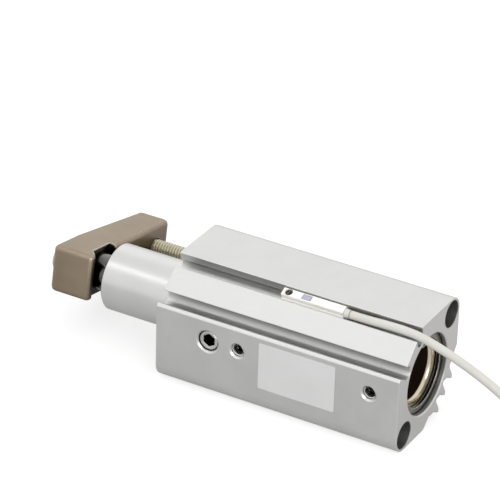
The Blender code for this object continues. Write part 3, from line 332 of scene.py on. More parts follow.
def smooth_round_faces(mesh, sharp_degrees):
    mesh.shade_smooth()
    mesh.set_sharp_from_angle(angle=math.radians(sharp_degrees))


def finish_mesh(work, name, sharp_degrees=35.0):
    """A mesh from a bmesh, with faces outwards and round faces smooth."""
    bmesh.ops.remove_doubles(work, verts=work.verts, dist=1e-7)
    bmesh.ops.recalc_face_normals(work, faces=work.faces)
    mesh = bpy.data.meshes.new(name)
    work.to_mesh(mesh)
    work.free()
    smooth_round_faces(mesh, sharp_degrees)
    return mesh


def ring_loft(work, rings, closed=True):
    """Skins rings that have the same number of points. Without closed, the ends are capped."""
    made = [[work.verts.new(place) for place in ring] for ring in rings]
    pairs = list(zip(made, made[1:]))
    if closed:
        pairs.append((made[-1], made[0]))
    for near, far in pairs:
        for index in range(len(near)):
            after = (index + 1) % len(near)
            work.faces.new((near[index], near[after], far[after], far[index]))
    if not closed:
        work.faces.new(list(reversed(made[0])))
        work.faces.new(made[-1])


def circle_ring(radius, height, steps):
    places = []
    for index in range(steps):
        angle = 2 * math.pi * index / steps
        places.append((radius * math.cos(angle), radius * math.sin(angle), height))
    return places


def hexagon_ring(across, height, steps, slope=0.0, land=0.0):
    """A hexagon at a height. With a slope, it rises where it reaches out past the land."""
    places = []
    for index in range(steps):
        angle = 2 * math.pi * index / steps
        from_middle = (angle + math.pi / 6) % (math.pi / 3) - math.pi / 6
        reach = across / 2 / math.cos(from_middle)
        rise = (reach - land) * slope
        places.append((reach * math.cos(angle), reach * math.sin(angle), height + rise))
    return places


def lofted_piece(name, rings, place, material, body, node=None, closed=True, sharp_degrees=35.0):
    """A piece skinned over rings and put in its place, instead of a node where one is given."""
    work = bmesh.new()
    ring_loft(work, rings, closed)
    mesh = finish_mesh(work, name, sharp_degrees)
    mesh.transform(place)
    piece = add_object(name, mesh, material)
    if node is not None:
        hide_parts(node)
    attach(piece, body)
    return piece


# Materials

class Painter:
    """Builds one material's nodes, one call for each node."""

    def __init__(self, name):
        self.material = bpy.data.materials.new(name)
        self.material.use_nodes = True
        self.tree = self.material.node_tree
        self.shader = self.tree.nodes["Principled BSDF"]
        self.coordinates = self.add("ShaderNodeTexCoord").outputs

    def add(self, kind, inputs=(), **settings):
        return add_node(self.tree, kind, inputs, **settings)

    def plain(self, values):
        """Plain values on the shader's own sockets."""
        for label, value in values.items():
            self.shader.inputs[label].default_value = value

    def link(self, source, label):
        self.tree.links.new(source, self.shader.inputs[label])

    def noise(self, scale, stretch=(1.0, 1.0, 1.0), detail=3.0):
        """Noise on Object coordinates with about `scale` features in a metre."""
        spread = self.add(
            "ShaderNodeMapping", {"Vector": self.coordinates["Object"], "Scale": stretch}
        )
        inputs = {"Vector": spread.outputs[0], "Scale": scale, "Detail": detail}
        return self.add("ShaderNodeTexNoise", inputs).outputs[0]

    def span(self, value, low, high, start=0.3, end=0.7):
        """Carries a value from start..end to low..high."""
        inputs = {0: value, 1: start, 2: end, 3: low, 4: high}
        return self.add("ShaderNodeMapRange", inputs).outputs[0]

    def math(self, operation, first, second=0.0):
        node = self.add("ShaderNodeMath", {0: first, 1: second}, operation=operation)
        return node.outputs[0]

    def vector(self, operation, first, second=(0.0, 0.0, 0.0)):
        node = self.add("ShaderNodeVectorMath", {0: first, 1: second}, operation=operation)
        single = operation in ("DOT_PRODUCT", "LENGTH")
        return node.outputs["Value" if single else "Vector"]

    def mix(self, share, first, second):
        node = self.add("ShaderNodeMix", {0: share, 6: first, 7: second}, data_type="RGBA")
        return node.outputs[2]

    def bump(self, height, depth, normal=None):
        inputs = {"Height": height, "Distance": depth, "Strength": 1.0}
        if normal is not None:
            inputs["Normal"] = normal
        return self.add("ShaderNodeBump", inputs).outputs[0]

    def edge_wear_and_highlight(self, tint, rounded, fine, colour, span):
        """The edge's colour where the rounded normal turns away from the face's own: a painted
        highlight along the edges, with some wear.
        """
        true = self.add("ShaderNodeNewGeometry").outputs["True Normal"]
        turn = self.math("SUBTRACT", 1.0, self.vector("DOT_PRODUCT", rounded, true))
        uneven = self.span(fine, EDGE_UNEVEN[0] * span[1], EDGE_UNEVEN[1] * span[1])
        wear_and_highlight = self.math("ADD", turn, uneven)
        return self.mix(self.span(wear_and_highlight, 0.0, 1.0, *span), tint, colour)

    def cut_ends(self, tint, colour):
        """The faces that look along the bore, in the colour of a machined cut."""
        along = self.add("ShaderNodeSeparateXYZ", {0: self.coordinates["Normal"]}).outputs[0]
        cut = self.math("GREATER_THAN", self.math("ABSOLUTE", along), CUT_END_FACING)
        return self.mix(cut, tint, colour)

    def grime(self, tint, reach, colour, span, from_all):
        """Painted shade: a dark colour where the occlusion node finds the surface closed in, in
        holes, grooves and the gaps between parts.
        """
        sky = self.add(
            "ShaderNodeAmbientOcclusion", {"Distance": reach},
            samples=SHADE_SAMPLES, only_local=not from_all,
        )
        unshaded = self.span(sky.outputs["AO"], 0.0, 1.0, *span)
        return self.mix(unshaded, colour, tint)

    def hole_wall(self, tint, y, z, radius, colour):
        """The wall of a hole along the bore, in a darker colour as painted shade."""
        away = self.vector("SUBTRACT", self.coordinates["Object"], (0.0, y, z))
        reach = self.vector("LENGTH", self.vector("MULTIPLY", away, (0.0, 1.0, 1.0)))
        inside = self.math("LESS_THAN", reach, radius + HOLE_WALL)
        return self.mix(inside, tint, colour)


def surface(
    name, colour, dark, metallic, rough, grain=(1500, 0.00001), lines=None,
    edge=0.0, edge_colour=None, edge_span=(0.03, 0.2), end_colour=None,
    grime=None, grime_from_all=False, grime_span=(0.16, 0.68),
    holes=(), hole_colour=None, coat=0.0, soft=0.0, shine=0.5,
):
    """A finish with uneven colour, uneven gloss, grain and, where asked, tool lines, edges
    lightened as painted highlight with wear, and painted shade in hollows.

    rough is the least and greatest roughness, grain is how many in a metre and how deep, lines adds
    (how many in a metre, stretch along each axis, depth). The (reach, colour) of painted shade
    darkens hollows, grooves and the gaps between parts where the occlusion node finds them closed
    in. holes are (y, z, radius) of holes along the bore, whose walls take a darker colour as
    painted shade.
    """
    paint = Painter(name)
    paint.plain({
        "Metallic": metallic,
        "Specular IOR Level": shine,
        "Coat Weight": coat,
        "Coat Roughness": COAT_ROUGHNESS,
        "Subsurface Weight": soft,
        "Subsurface Scale": SOFT_DEPTH,
    })
    patches = paint.noise(PATCHES, detail=5.0)
    fine = paint.noise(grain[0])
    tint = paint.mix(paint.span(patches, 0.0, 1.0), dark, colour)
    roughness = paint.span(paint.math("ADD", patches, fine), rough[0], rough[1], 0.7, 1.3)
    normal = None
    if edge:
        normal = paint.add(
            "ShaderNodeBevel", {"Radius": edge}, samples=EDGE_SAMPLES
        ).outputs[0]
    if edge and edge_colour:
        tint = paint.edge_wear_and_highlight(tint, normal, fine, edge_colour, edge_span)
    if end_colour:
        tint = paint.cut_ends(tint, end_colour)
    if grime:
        tint = paint.grime(tint, *grime, grime_span, grime_from_all)
    for y, z, radius in holes:
        tint = paint.hole_wall(tint, y, z, radius, hole_colour)
    if lines:
        scale, stretch, depth = lines
        normal = paint.bump(paint.noise(scale, stretch, 2.0), depth, normal)
    normal = paint.bump(fine, grain[1], normal)
    paint.link(tint, "Base Color")
    paint.link(roughness, "Roughness")
    paint.link(normal, "Normal")
    return paint.material


def make_finishes():
    """Every finish of the cylinder, by name."""
    made = {}

    def add(name, *args, **settings):
        made[name] = surface(name, *args, **settings)

    centre = at(0.0, 0.0, 0.0)
    holes = [(centre.y, centre.z, REAR_BORE_RADIUS)]
    for side in (1, -1):
        ear = at(0.0, side * EAR_OFFSET, side * EAR_OFFSET)
        holes.append((ear.y, ear.z, POCKET_RADIUS))
    # Edges lightened as painted highlight with some wear, painted shade in the slots and pockets,
    # and the hole walls darker as painted shade.
    add("anodised_extrusion", tone(213, 213, 211), tone(206, 206, 204), 1.0, (0.34, 0.44),
        grain=(2600, 0.000006), lines=(1300, ALONG_BORE, 0.000006), edge=0.00035,
        edge_colour=tone(250, 250, 249), edge_span=(0.02, 0.12), end_colour=tone(216, 215, 213),
        grime=(0.005, tone(20, 20, 19)), grime_span=(0.15, 0.63),
        holes=holes, hole_colour=tone(168, 168, 166))
    add("turned_aluminium", tone(217, 217, 215), tone(211, 211, 209), 0.9, (0.28, 0.36),
        grain=(1800, 0.0000006), lines=(3200, ROUND_BORE, 0.0000012), edge=0.0002)
    # The base is kept dark, and painted shade from every part nearby darkens it further: both stand
    # in for the shade in the gap between the arm and the nose.
    add("hard_chrome", tone(140, 138, 136), tone(128, 126, 124), 1.0, (0.06, 0.12),
        grain=(900, 0.0000005), lines=(4200, ROUND_BORE, 0.0000008),
        grime=(0.022, tone(12, 10, 9)), grime_from_all=True, grime_span=(0.38, 0.95))
    # Edges lightened as painted highlight with some wear, and painted shade from every part nearby
    # darkens the faces turned to the body and the floor.
    add("nickel_arm", tone(156, 141, 122), tone(143, 128, 109), 0.95, (0.28, 0.38),
        grain=(1600, 0.00001), edge=0.0009, edge_colour=tone(228, 219, 204),
        edge_span=(0.018, 0.06),
        grime=(0.030, tone(22, 17, 12)), grime_from_all=True, grime_span=(0.20, 0.84))
    # Painted shade in the roots of the thread.
    add("zinc_plate", tone(214, 209, 190), tone(204, 198, 174), 1.0, (0.26, 0.36),
        grain=(1400, 0.000002), grime=(0.0009, tone(60, 54, 34)))
    add("bronze_plate", tone(232, 225, 208), tone(212, 202, 180), 1.0, (0.18, 0.26),
        grain=(1200, 0.000003), lines=(2600, (1.0, 0.3, 0.3), 0.000002))
    # Floor of the dish: the plate's own dark brown, darkened further as painted shade.
    add("dark_bronze_and_shade", tone(34, 24, 16), tone(24, 16, 11), 0.0, (0.3, 0.45),
        grain=(1200, 0.000003), shine=0.0)
    # Edges lightened as painted highlight with some wear, and painted shade in its groove.
    add("spring_steel", tone(150, 148, 144), tone(118, 116, 112), 1.0, (0.18, 0.32),
        grain=(2000, 0.000004), lines=(3600, (0.02, 1.0, 1.0), 0.000003), edge=0.0003,
        edge_colour=tone(236, 234, 230), grime=(0.003, tone(24, 22, 20)))
    # Edges lightened as painted highlight with some wear. This finish also floors the bolt's
    # shallow socket as painted shade.
    add("dark_steel", tone(70, 68, 66), tone(42, 41, 40), 0.9, (0.26, 0.42),
        grain=(2000, 0.000006), edge=0.00025, edge_colour=tone(205, 203, 198))
    # Edges lightened as painted highlight with some wear, and painted shade that turns the hex
    # socket black.
    add("plated_plug", tone(206, 206, 204), tone(184, 184, 182), 1.0, (0.18, 0.30),
        grain=(1900, 0.000004), edge=0.0003, edge_colour=tone(240, 240, 240),
        grime=(0.0045, tone(6, 6, 6)), grime_span=(0.5, 0.85))
    # Painted shade in the port threads.
    add("tapped_aluminium", tone(214, 214, 214), tone(196, 196, 196), 1.0, (0.22, 0.34),
        grain=(1900, 0.000004), grime=(0.003, tone(30, 30, 30)))
    # Edges lightened as painted highlight with some wear.
    add("bright_steel", tone(190, 190, 190), tone(160, 160, 160), 1.0, (0.20, 0.34),
        grain=(1900, 0.000004), edge=0.0002, edge_colour=tone(230, 230, 230))
    add("ivory_housing", tone(251, 250, 243), tone(246, 244, 235), 0.0, (0.34, 0.48),
        grain=(2400, 0.000006), edge=0.0002, soft=0.1)
    add("ivory_sheath", tone(213, 212, 207), tone(205, 203, 196), 0.0, (0.38, 0.52),
        grain=(1700, 0.000006), soft=0.1)
    add("lamp_window", tone(178, 176, 196), tone(160, 158, 182), 0.0, (0.10, 0.20),
        grain=(1500, 0.000002), coat=0.5)
    add("black_rubber", tone(44, 44, 44), tone(32, 32, 32), 0.0, (0.55, 0.75),
        grain=(2400, 0.00001))
    add("sintered_bronze", tone(176, 140, 88), tone(148, 114, 68), 0.9, (0.38, 0.52),
        grain=(5200, 0.000012))
    add("tan_urethane", tone(196, 168, 112), tone(180, 150, 96), 0.0, (0.36, 0.5),
        grain=(1400, 0.000006), soft=0.1)
    add("resin_ring", tone(96, 84, 66), tone(82, 70, 54), 0.0, (0.4, 0.55),
        grain=(3600, 0.00001))
    add("ferrite", tone(58, 58, 60), tone(44, 44, 46), 0.3, (0.45, 0.6),
        grain=(4200, 0.000012))
    add("blank_sticker", tone(222, 222, 222), tone(217, 217, 217), 0.0, (0.34, 0.46),
        grain=(3000, 0.000003), edge=0.0001)
    add("brown_lead", tone(122, 74, 44), tone(104, 60, 34), 0.0, (0.36, 0.5),
        grain=(2400, 0.000005))
    add("blue_lead", tone(52, 88, 164), tone(40, 72, 142), 0.0, (0.36, 0.5),
        grain=(2400, 0.000005))
    add("copper_strands", tone(214, 138, 96), tone(190, 112, 74), 1.0, (0.2, 0.34),
        grain=(4200, 0.00001))
    add("nylon_tie", tone(228, 228, 222), tone(214, 214, 208), 0.0, (0.34, 0.48),
        grain=(2200, 0.000005), soft=0.15)
    return made


# Copies of the part's own nodes

def patch_widths(work):
    """For each face, how wide the flat patch is that it is part of."""
    width = {}
    for start in work.faces:
        if start in width:
            continue
        patch, queue = {start}, [start]
        while queue:
            face = queue.pop()
            for edge in face.edges:
                for beside in edge.link_faces:
                    if beside not in patch and beside.normal.dot(start.normal) > FLAT_DOT:
                        patch.add(beside)
                        queue.append(beside)
        corners = [vert.co for face in patch for vert in face.verts]
        low = Vector([min(place[axis] for place in corners) for axis in range(3)])
        high = Vector([max(place[axis] for place in corners) for axis in range(3)])
        mean = sum(face.calc_area() for face in patch) / max((high - low).length, 1e-9)
        for face in patch:
            width[face] = mean
    return width


def corner_normal(loop, width):
    """A flat patch keeps its normal, and a facet beside one takes it. Others take the mean."""
    own = loop.face.normal
    if width[loop.face] > FLAT_WIDTH:
        return own
    near = [
        other for other in loop.vert.link_loops
        if other.face.normal.dot(own) > SMOOTH_DOT and other.face.calc_area() > 1e-12
    ]
    flat = [other for other in near if width[other.face] > FLAT_WIDTH]
    if flat:
        return flat[0].face.normal
    mean = Vector()
    for other in near:
        mean += other.face.normal * other.calc_angle()
    return mean.normalized() if mean.length > 0.1 else own


def smooth_copy(node, material):
    """A merged copy of a node, with its own shading normals."""
    work = bmesh.new()
    work.from_mesh(frame["nodes"][node].data)
    bmesh.ops.remove_doubles(work, verts=work.verts, dist=1e-6)
    work.normal_update()
    width = patch_widths(work)
    normals = [tuple(corner_normal(loop, width)) for face in work.faces for loop in face.loops]
    mesh = bpy.data.meshes.new(f"{node}_shape")
    work.to_mesh(mesh)
    work.free()
    mesh.shade_smooth()
    mesh.normals_split_custom_set(normals)
    piece = add_object(f"{node}_shape", mesh, material)
    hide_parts(node)
    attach(piece, body_of(node))


def dress_nodes(finishes):
    for node, finish in SHOWN.items():
        smooth_copy(node, finishes[finish])
    for node, finish in HIDDEN.items():
        piece = frame["nodes"][node]
        piece.data.materials.clear()
        piece.data.materials.append(finishes[finish])


# Geometry Nodes

class Grower:
    """Builds one Geometry Nodes tree and turns what it makes into a plain mesh."""

    def __init__(self, name, inputs):
        self.tree = bpy.data.node_groups.new(name, "GeometryNodeTree")
        face = self.tree.interface
        for label, kind in inputs.items():
            face.new_socket(label, in_out="INPUT", socket_type=f"NodeSocket{kind}")
        face.new_socket("Finish", in_out="INPUT", socket_type="NodeSocketMaterial")
        face.new_socket("Geometry", in_out="OUTPUT", socket_type="NodeSocketGeometry")
        self.given = self.tree.nodes.new("NodeGroupInput").outputs

    def add(self, kind, inputs=(), **settings):
        return add_node(self.tree, kind, inputs, **settings)

    def math(self, operation, first, second=0.0):
        return self.add("ShaderNodeMath", {0: first, 1: second}, operation=operation).outputs[0]

    def close(self, geometry):
        """Ends the tree: instances made real, and the finish set."""
        real = self.add("GeometryNodeRealizeInstances", {0: geometry}).outputs[0]
        dressed = self.add(
            "GeometryNodeSetMaterial", {"Geometry": real, "Material": self.given["Finish"]}
        )
        self.add("NodeGroupOutput", {0: dressed.outputs[0]})

    def grow(self, name, place, sharp_degrees=35.0, **values):
        """The tree's result as a plain mesh in its place, with the tree's inputs by name."""
        holder = add_object(name, bpy.data.meshes.new(name))
        modifier = holder.modifiers.new(name, "NODES")
        modifier.node_group = self.tree
        for item in self.tree.interface.items_tree:
            if item.item_type == "SOCKET" and item.in_out == "INPUT":
                modifier[item.identifier] = values[item.name.lower()]
        graph = bpy.context.evaluated_depsgraph_get()
        mesh = bpy.data.meshes.new_from_object(holder.evaluated_get(graph))
        holder.modifiers.remove(modifier)
        mesh.transform(place)
        smooth_round_faces(mesh, sharp_degrees)
        holder.data = mesh
        return holder


def thread_tree():
    """A rod with a thread cut round it: each point moves in by where it is on the helix."""
    tree = Grower("threaded_rod", {
        "Radius": "Float", "Length": "Float", "Pitch": "Float", "Depth": "Float",
        "Around": "Int", "Along": "Int",
    })
    given = tree.given
    rod = tree.add("GeometryNodeMeshCylinder", {
        "Vertices": given["Around"], "Side Segments": given["Along"],
        "Radius": given["Radius"], "Depth": given["Length"],
    }, fill_type="NGON")
    place = tree.add("GeometryNodeInputPosition").outputs[0]
    parts = tree.add("ShaderNodeSeparateXYZ", {0: place}).outputs
    turn = tree.math("DIVIDE", tree.math("ARCTAN2", parts[1], parts[0]), 2 * math.pi)
    phase = tree.math("SUBTRACT", tree.math("DIVIDE", parts[2], given["Pitch"]), turn)
    wave = tree.math("MULTIPLY", tree.math("PINGPONG", phase, 0.5), 2.0)
    flank = tree.math("SUBTRACT", tree.math("MULTIPLY", wave, THREAD_STEEPNESS), THREAD_ROOT)
    level = tree.math("MAXIMUM", tree.math("MINIMUM", flank, 1.0), 0.0)
    cut = tree.math("MULTIPLY", tree.math("SUBTRACT", 1.0, level), given["Depth"])
    share = tree.math("SUBTRACT", 1.0, tree.math("DIVIDE", cut, given["Radius"]))
    moved = tree.add("ShaderNodeCombineXYZ", {
        0: tree.math("MULTIPLY", parts[0], share),
        1: tree.math("MULTIPLY", parts[1], share),
        2: parts[2],
    })
    shaped = tree.add(
        "GeometryNodeSetPosition", {"Geometry": rod.outputs[0], "Position": moved.outputs[0]}
    )
    tree.close(shaped.outputs[0])
    return tree


def helix_tree():
    """A ridge that winds round an axis, for the thread inside a hole."""
    tree = Grower("hole_thread", {
        "Radius": "Float", "Length": "Float", "Turns": "Float", "Ridge": "Float",
    })
    given = tree.given
    spiral = tree.add("GeometryNodeCurveSpiral", {
        "Resolution": HELIX_STEPS_A_TURN, "Rotations": given["Turns"],
        "Start Radius": given["Radius"], "End Radius": given["Radius"],
        "Height": given["Length"],
    })
    section = tree.add("GeometryNodeCurvePrimitiveCircle", {
        "Resolution": RIDGE_SIDES, "Radius": given["Ridge"],
    })
    ridge = tree.add("GeometryNodeCurveToMesh", {
        "Curve": spiral.outputs[0], "Profile Curve": section.outputs[0], "Fill Caps": True,
    })
    tree.close(ridge.outputs[0])
    return tree


def ridge_tree():
    """Straight ridges side by side round a screw head, as a knurl."""
    tree = Grower("knurl", {
        "Radius": "Float", "Length": "Float", "Count": "Int", "Ridge": "Float",
    })
    given = tree.given
    ring = tree.add("GeometryNodeMeshCircle", {
        "Vertices": given["Count"], "Radius": given["Radius"],
    })
    rod = tree.add("GeometryNodeMeshCylinder", {
        "Vertices": KNURL_SIDES, "Radius": given["Ridge"], "Depth": given["Length"],
    })
    spread = tree.add("GeometryNodeInstanceOnPoints", {
        "Points": ring.outputs[0], "Instance": rod.outputs[0],
    })
    tree.close(spread.outputs[0])
    return tree


# Pieces on the cylinder and the arm

def make_clamp_bolt(finish, socket_shade_finish):
    """Threaded bolt with a turned-down tip and a hexagon socket in its tail."""
    core = BOLT_RADIUS - THREAD_DEPTH
    cone = (BOLT_RADIUS - BOLT_TIP_RADIUS) / 2
    thread_end = ARM_FACE_X + BOLT_OUT - BOLT_TIP_LENGTH - cone
    length = thread_end - BOLT_TAIL_X
    bolt = thread_tree().grow(
        "clamp_bolt_thread", in_arm(BOLT_TAIL_X + length / 2, BOLT_REACH),
        radius=BOLT_RADIUS, length=length, pitch=THREAD_PITCH, depth=THREAD_DEPTH,
        around=BOLT_FACETS, along=round(length / THREAD_PITCH * THREAD_STEPS_A_TURN),
        finish=finish,
    )
    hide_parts("clamp_bolt")
    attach(bolt, "rod_unit")

    chamfer = FIT / 2
    tip_end = cone + BOLT_TIP_LENGTH
    lofted_piece("clamp_bolt_tip", [
        circle_ring(core, 0.0, BOLT_FACETS),
        circle_ring(BOLT_TIP_RADIUS, cone, BOLT_FACETS),
        circle_ring(BOLT_TIP_RADIUS, tip_end - chamfer, BOLT_FACETS),
        circle_ring(BOLT_TIP_RADIUS - chamfer, tip_end, BOLT_FACETS),
    ], in_arm(thread_end, BOLT_REACH), finish, "rod_unit", closed=False)

    tail = in_arm(BOLT_TAIL_X, BOLT_REACH)
    lofted_piece("clamp_bolt_socket", [
        circle_ring(core, 0.0, BOLT_FACETS),
        circle_ring(core, -SOCKET_LIP, BOLT_FACETS),
        hexagon_ring(BOLT_HEX, -SOCKET_LIP, BOLT_FACETS),
        hexagon_ring(BOLT_HEX, 0.0, BOLT_FACETS),
    ], tail, finish, "rod_unit")
    # The socket is only a lip deep; the dark sheet at its floor is painted shade for a deep socket.
    lofted_piece("clamp_bolt_socket_floor", [
        hexagon_ring(BOLT_HEX, -SOCKET_LIP / 2, BOLT_FACETS),
        hexagon_ring(BOLT_HEX, -SOCKET_LIP / 4, BOLT_FACETS),
    ], tail, socket_shade_finish, "rod_unit", closed=False)


def make_lock_nut(finish):
    """Hexagon nut with its corners turned off on both sides."""
    hole = BOLT_RADIUS + FIT / 3
    chamfer = FIT
    lofted_piece("lock_nut", [
        circle_ring(hole, chamfer, NUT_FACETS),
        circle_ring(hole + chamfer, 0.0, NUT_FACETS),
        circle_ring(NUT_LAND, 0.0, NUT_FACETS),
        hexagon_ring(NUT_ACROSS, 0.0, NUT_FACETS, NUT_SLOPE, NUT_LAND),
        hexagon_ring(NUT_ACROSS, NUT_THICKNESS, NUT_FACETS, -NUT_SLOPE, NUT_LAND),
        circle_ring(NUT_LAND, NUT_THICKNESS, NUT_FACETS),
        circle_ring(hole + chamfer, NUT_THICKNESS, NUT_FACETS),
        circle_ring(hole, NUT_THICKNESS - chamfer, NUT_FACETS),
    ], in_arm(NUT_SEAT_X - NUT_THICKNESS, BOLT_REACH), finish, "rod_unit",
        node="clamp_nut", sharp_degrees=25.0)


def make_guide_plug(finish):
    """Hexagon-socket plug over the guide pin, with a countersunk mouth."""
    low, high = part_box("guide_pin_plug")
    centre = at(0.0, 0.0, 0.0)
    centre.x = (low[0] + high[0]) / 2
    lofted_piece("guide_plug", [
        circle_ring(PLUG_RADIUS - FIT, PLUG_FOOT, PLUG_FACETS),
        circle_ring(PLUG_RADIUS, PLUG_FOOT + FIT, PLUG_FACETS),
        circle_ring(PLUG_RADIUS, PLUG_TOP - FIT, PLUG_FACETS),
        circle_ring(PLUG_RADIUS - FIT, PLUG_TOP, PLUG_FACETS),
        circle_ring(PLUG_MOUTH, PLUG_TOP, PLUG_FACETS),
        hexagon_ring(PLUG_ACROSS, PLUG_TOP - FIT, PLUG_FACETS),
        hexagon_ring(PLUG_ACROSS, PLUG_TOP - PLUG_SOCKET_DEPTH, PLUG_FACETS),
    ], Matrix.Translation(centre) @ Matrix.Rotation(math.pi / 2, 4, "X"), finish,
        body_of("guide_pin_plug"), node="guide_pin_plug", closed=False)


def make_dished_plate(finish, floor_finish):
    """Rear plate whose recess is dished, with the O-ring groove in its edge."""
    profile = []
    for index in range(DISH_STEPS + 1):
        share = index / DISH_STEPS
        radius = DISH_FLOOR + (DISH_RIM - DISH_FLOOR) * share
        lift = DISH_DEPTH * (1 - math.sqrt(1 - share**2))
        profile.append((radius, PLATE_BACK_X - DISH_DEPTH + lift))
    profile += [
        (PLATE_FLANGE - FIT / 2, PLATE_BACK_X),
        (PLATE_FLANGE, PLATE_BACK_X - FIT / 2),
        (PLATE_FLANGE, PLATE_SEAT_X),
        (PLATE_SPIGOT, PLATE_SEAT_X),
        (PLATE_SPIGOT, PLATE_GROOVE_X[1]),
        (PLATE_GROOVE, PLATE_GROOVE_X[1]),
        (PLATE_GROOVE, PLATE_GROOVE_X[0]),
        (PLATE_SPIGOT, PLATE_GROOVE_X[0]),
        (PLATE_SPIGOT, PLATE_FRONT_X),
    ]
    rings = [circle_ring(radius, x, PLATE_FACETS) for radius, x in profile]
    plate = lofted_piece(
        "dished_plate", rings, along_bore(0.0), finish, body_of("rear_plate"),
        node="rear_plate", closed=False,
    )
    # The dish floor's cap takes the dark brown finish: the plate's own colour, darkened further as
    # painted shade.
    plate.data.materials.append(floor_finish)
    caps = [face for face in plate.data.polygons if len(face.vertices) == PLATE_FACETS]
    max(caps, key=lambda face: face.center.x).material_index = 1


def make_port_threads(finish):
    tree = helix_tree()
    length = PORT_DEPTH - 2 * PORT_PITCH
    inward = Matrix.Rotation(-math.pi / 2, 4, "X")
    for name, x in PORTS_X.items():
        start = at(x, -BODY_HALF + PORT_RIDGE_START, 0.0)
        piece = tree.grow(
            f"{name}_port_thread", Matrix.Translation(start) @ inward,
            radius=PORT_RIDGE_RADIUS, length=length, turns=length / PORT_PITCH,
            ridge=PORT_RIDGE, finish=finish,
        )
        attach(piece, "cylinder")


def make_knurl(finish):
    piece = ridge_tree().grow(
        "arm_screw_knurl", in_arm(HEAD_START_X + HEAD_HEIGHT / 2, 0.0),
        radius=KNURL_RADIUS, length=KNURL_LENGTH, count=KNURL_COUNT,
        ridge=KNURL_RIDGE, finish=finish,
    )
    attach(piece, "rod_unit")


def make_label(finish):
    """Blank sticker with rounded corners."""
    low_x, high_x = LABEL_X[0] + LABEL_CORNER, LABEL_X[1] - LABEL_CORNER
    low_z, high_z = LABEL_Z[0] + LABEL_CORNER, LABEL_Z[1] - LABEL_CORNER
    centres = ((high_x, high_z), (low_x, high_z), (low_x, low_z), (high_x, low_z))
    outline = []
    for corner, (x, z) in enumerate(centres):
        for step in range(LABEL_CORNER_STEPS + 1):
            angle = math.pi / 2 * (corner + step / LABEL_CORNER_STEPS)
            outline.append((x + LABEL_CORNER * math.cos(angle), z + LABEL_CORNER * math.sin(angle)))
    lofted_piece("blank_label", [
        [(x, -BODY_HALF - depth, z) for x, z in outline]
        for depth in (LABEL_LIFT, LABEL_THICKNESS)
    ], Matrix.Translation(ORIGIN), finish, "cylinder", closed=False)


# Cable

def coil_place(turn):
    """Bearing of the coil at a turn, its reach from the middle, and its height."""
    bearing = -math.pi / 2 + 2 * math.pi * turn
    lane = COIL_ENTRY - 2 * math.pi * turn / COIL_LANES
    reach = COIL_RADIUS + COIL_BUNDLE * math.cos(lane)
    return bearing, reach, COIL_CENTRE_Z + COIL_BUNDLE * math.sin(lane)


def coil_points():
    """A twisted coil: the turns run side by side in a round bundle and never cross."""
    points = []
    steps = round(COIL_TURNS * COIL_STEPS_A_TURN)
    for index in range(steps + 1):
        bearing, reach, height = coil_place(COIL_TURNS * index / steps)
        points.append((
            COIL_CENTRE_X + reach * math.cos(bearing),
            COIL_CENTRE_Y + reach * math.sin(bearing),
            height,
        ))
    last = Vector(points[-1])
    along = Vector((-math.sin(bearing), math.cos(bearing), TAIL_SLOPE))
    for share in TAIL_SHARES:
        points.append(tuple(last + along * TAIL_LENGTH * share))
    return points


def make_curve(name, points, diameter, material):
    curve = bpy.data.curves.new(name, "CURVE")
    curve.dimensions = "3D"
    curve.resolution_u = CURVE_STEPS
    curve.bevel_depth = diameter / 2
    curve.bevel_resolution = CURVE_STEPS
    curve.use_fill_caps = True
    spline = curve.splines.new("BEZIER")
    spline.bezier_points.add(len(points) - 1)
    for knot, place in zip(spline.bezier_points, points):
        knot.co = at(*place)
        knot.handle_left_type = "AUTO"
        knot.handle_right_type = "AUTO"
    return add_object(name, curve, material)


def make_leads(finishes):
    """Two leads from the cable's end down to the floor, each with a bare copper end."""
    bearing, reach, height = coil_place(COIL_TURNS)
    height -= LEAD_DROP
    along = Vector((-math.sin(bearing), math.cos(bearing), 0.0))
    side = Vector((math.cos(bearing), math.sin(bearing), 0.0))
    clear = COIL_RADIUS + COIL_REACH + FIT + LEAD_DIAMETER / 2
    tail = math.sqrt(clear**2 - (reach - LEAD_SPACING / 2) ** 2)
    end = Vector((COIL_CENTRE_X, COIL_CENTRE_Y, height)) + side * reach + along * tail
    rest = Vector((0.0, 0.0, -BODY_HALF + LEAD_DIAMETER / 2 + LEAD_LIFT - height))
    pieces = []
    for index, colour in enumerate(("brown", "blue")):
        near = side * LEAD_SPACING * (index - 0.5)
        far = side * LEAD_SPREAD * (2 * index - 1)
        route = [
            end + near,
            end + near + along * LEAD_LENGTH / 4 + rest / 4,
            end + (near + far) / 2 + along * LEAD_LENGTH / 2 + rest * 3 / 4,
            end + far + along * (LEAD_LENGTH - LEAD_BARE) + rest,
        ]
        tip = end + far + along * LEAD_LENGTH + rest
        lead = make_curve(f"lead_{colour}", route, LEAD_DIAMETER, finishes[f"{colour}_lead"])
        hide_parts(f"cable_lead_{colour}")
        bare = make_curve(
            f"lead_{colour}_bare", [route[-1], (route[-1] + tip) / 2, tip],
            STRANDS_DIAMETER, finishes["copper_strands"],
        )
        for piece in (lead, bare):
            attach(piece, "cylinder")
            pieces.append(piece)
    return pieces


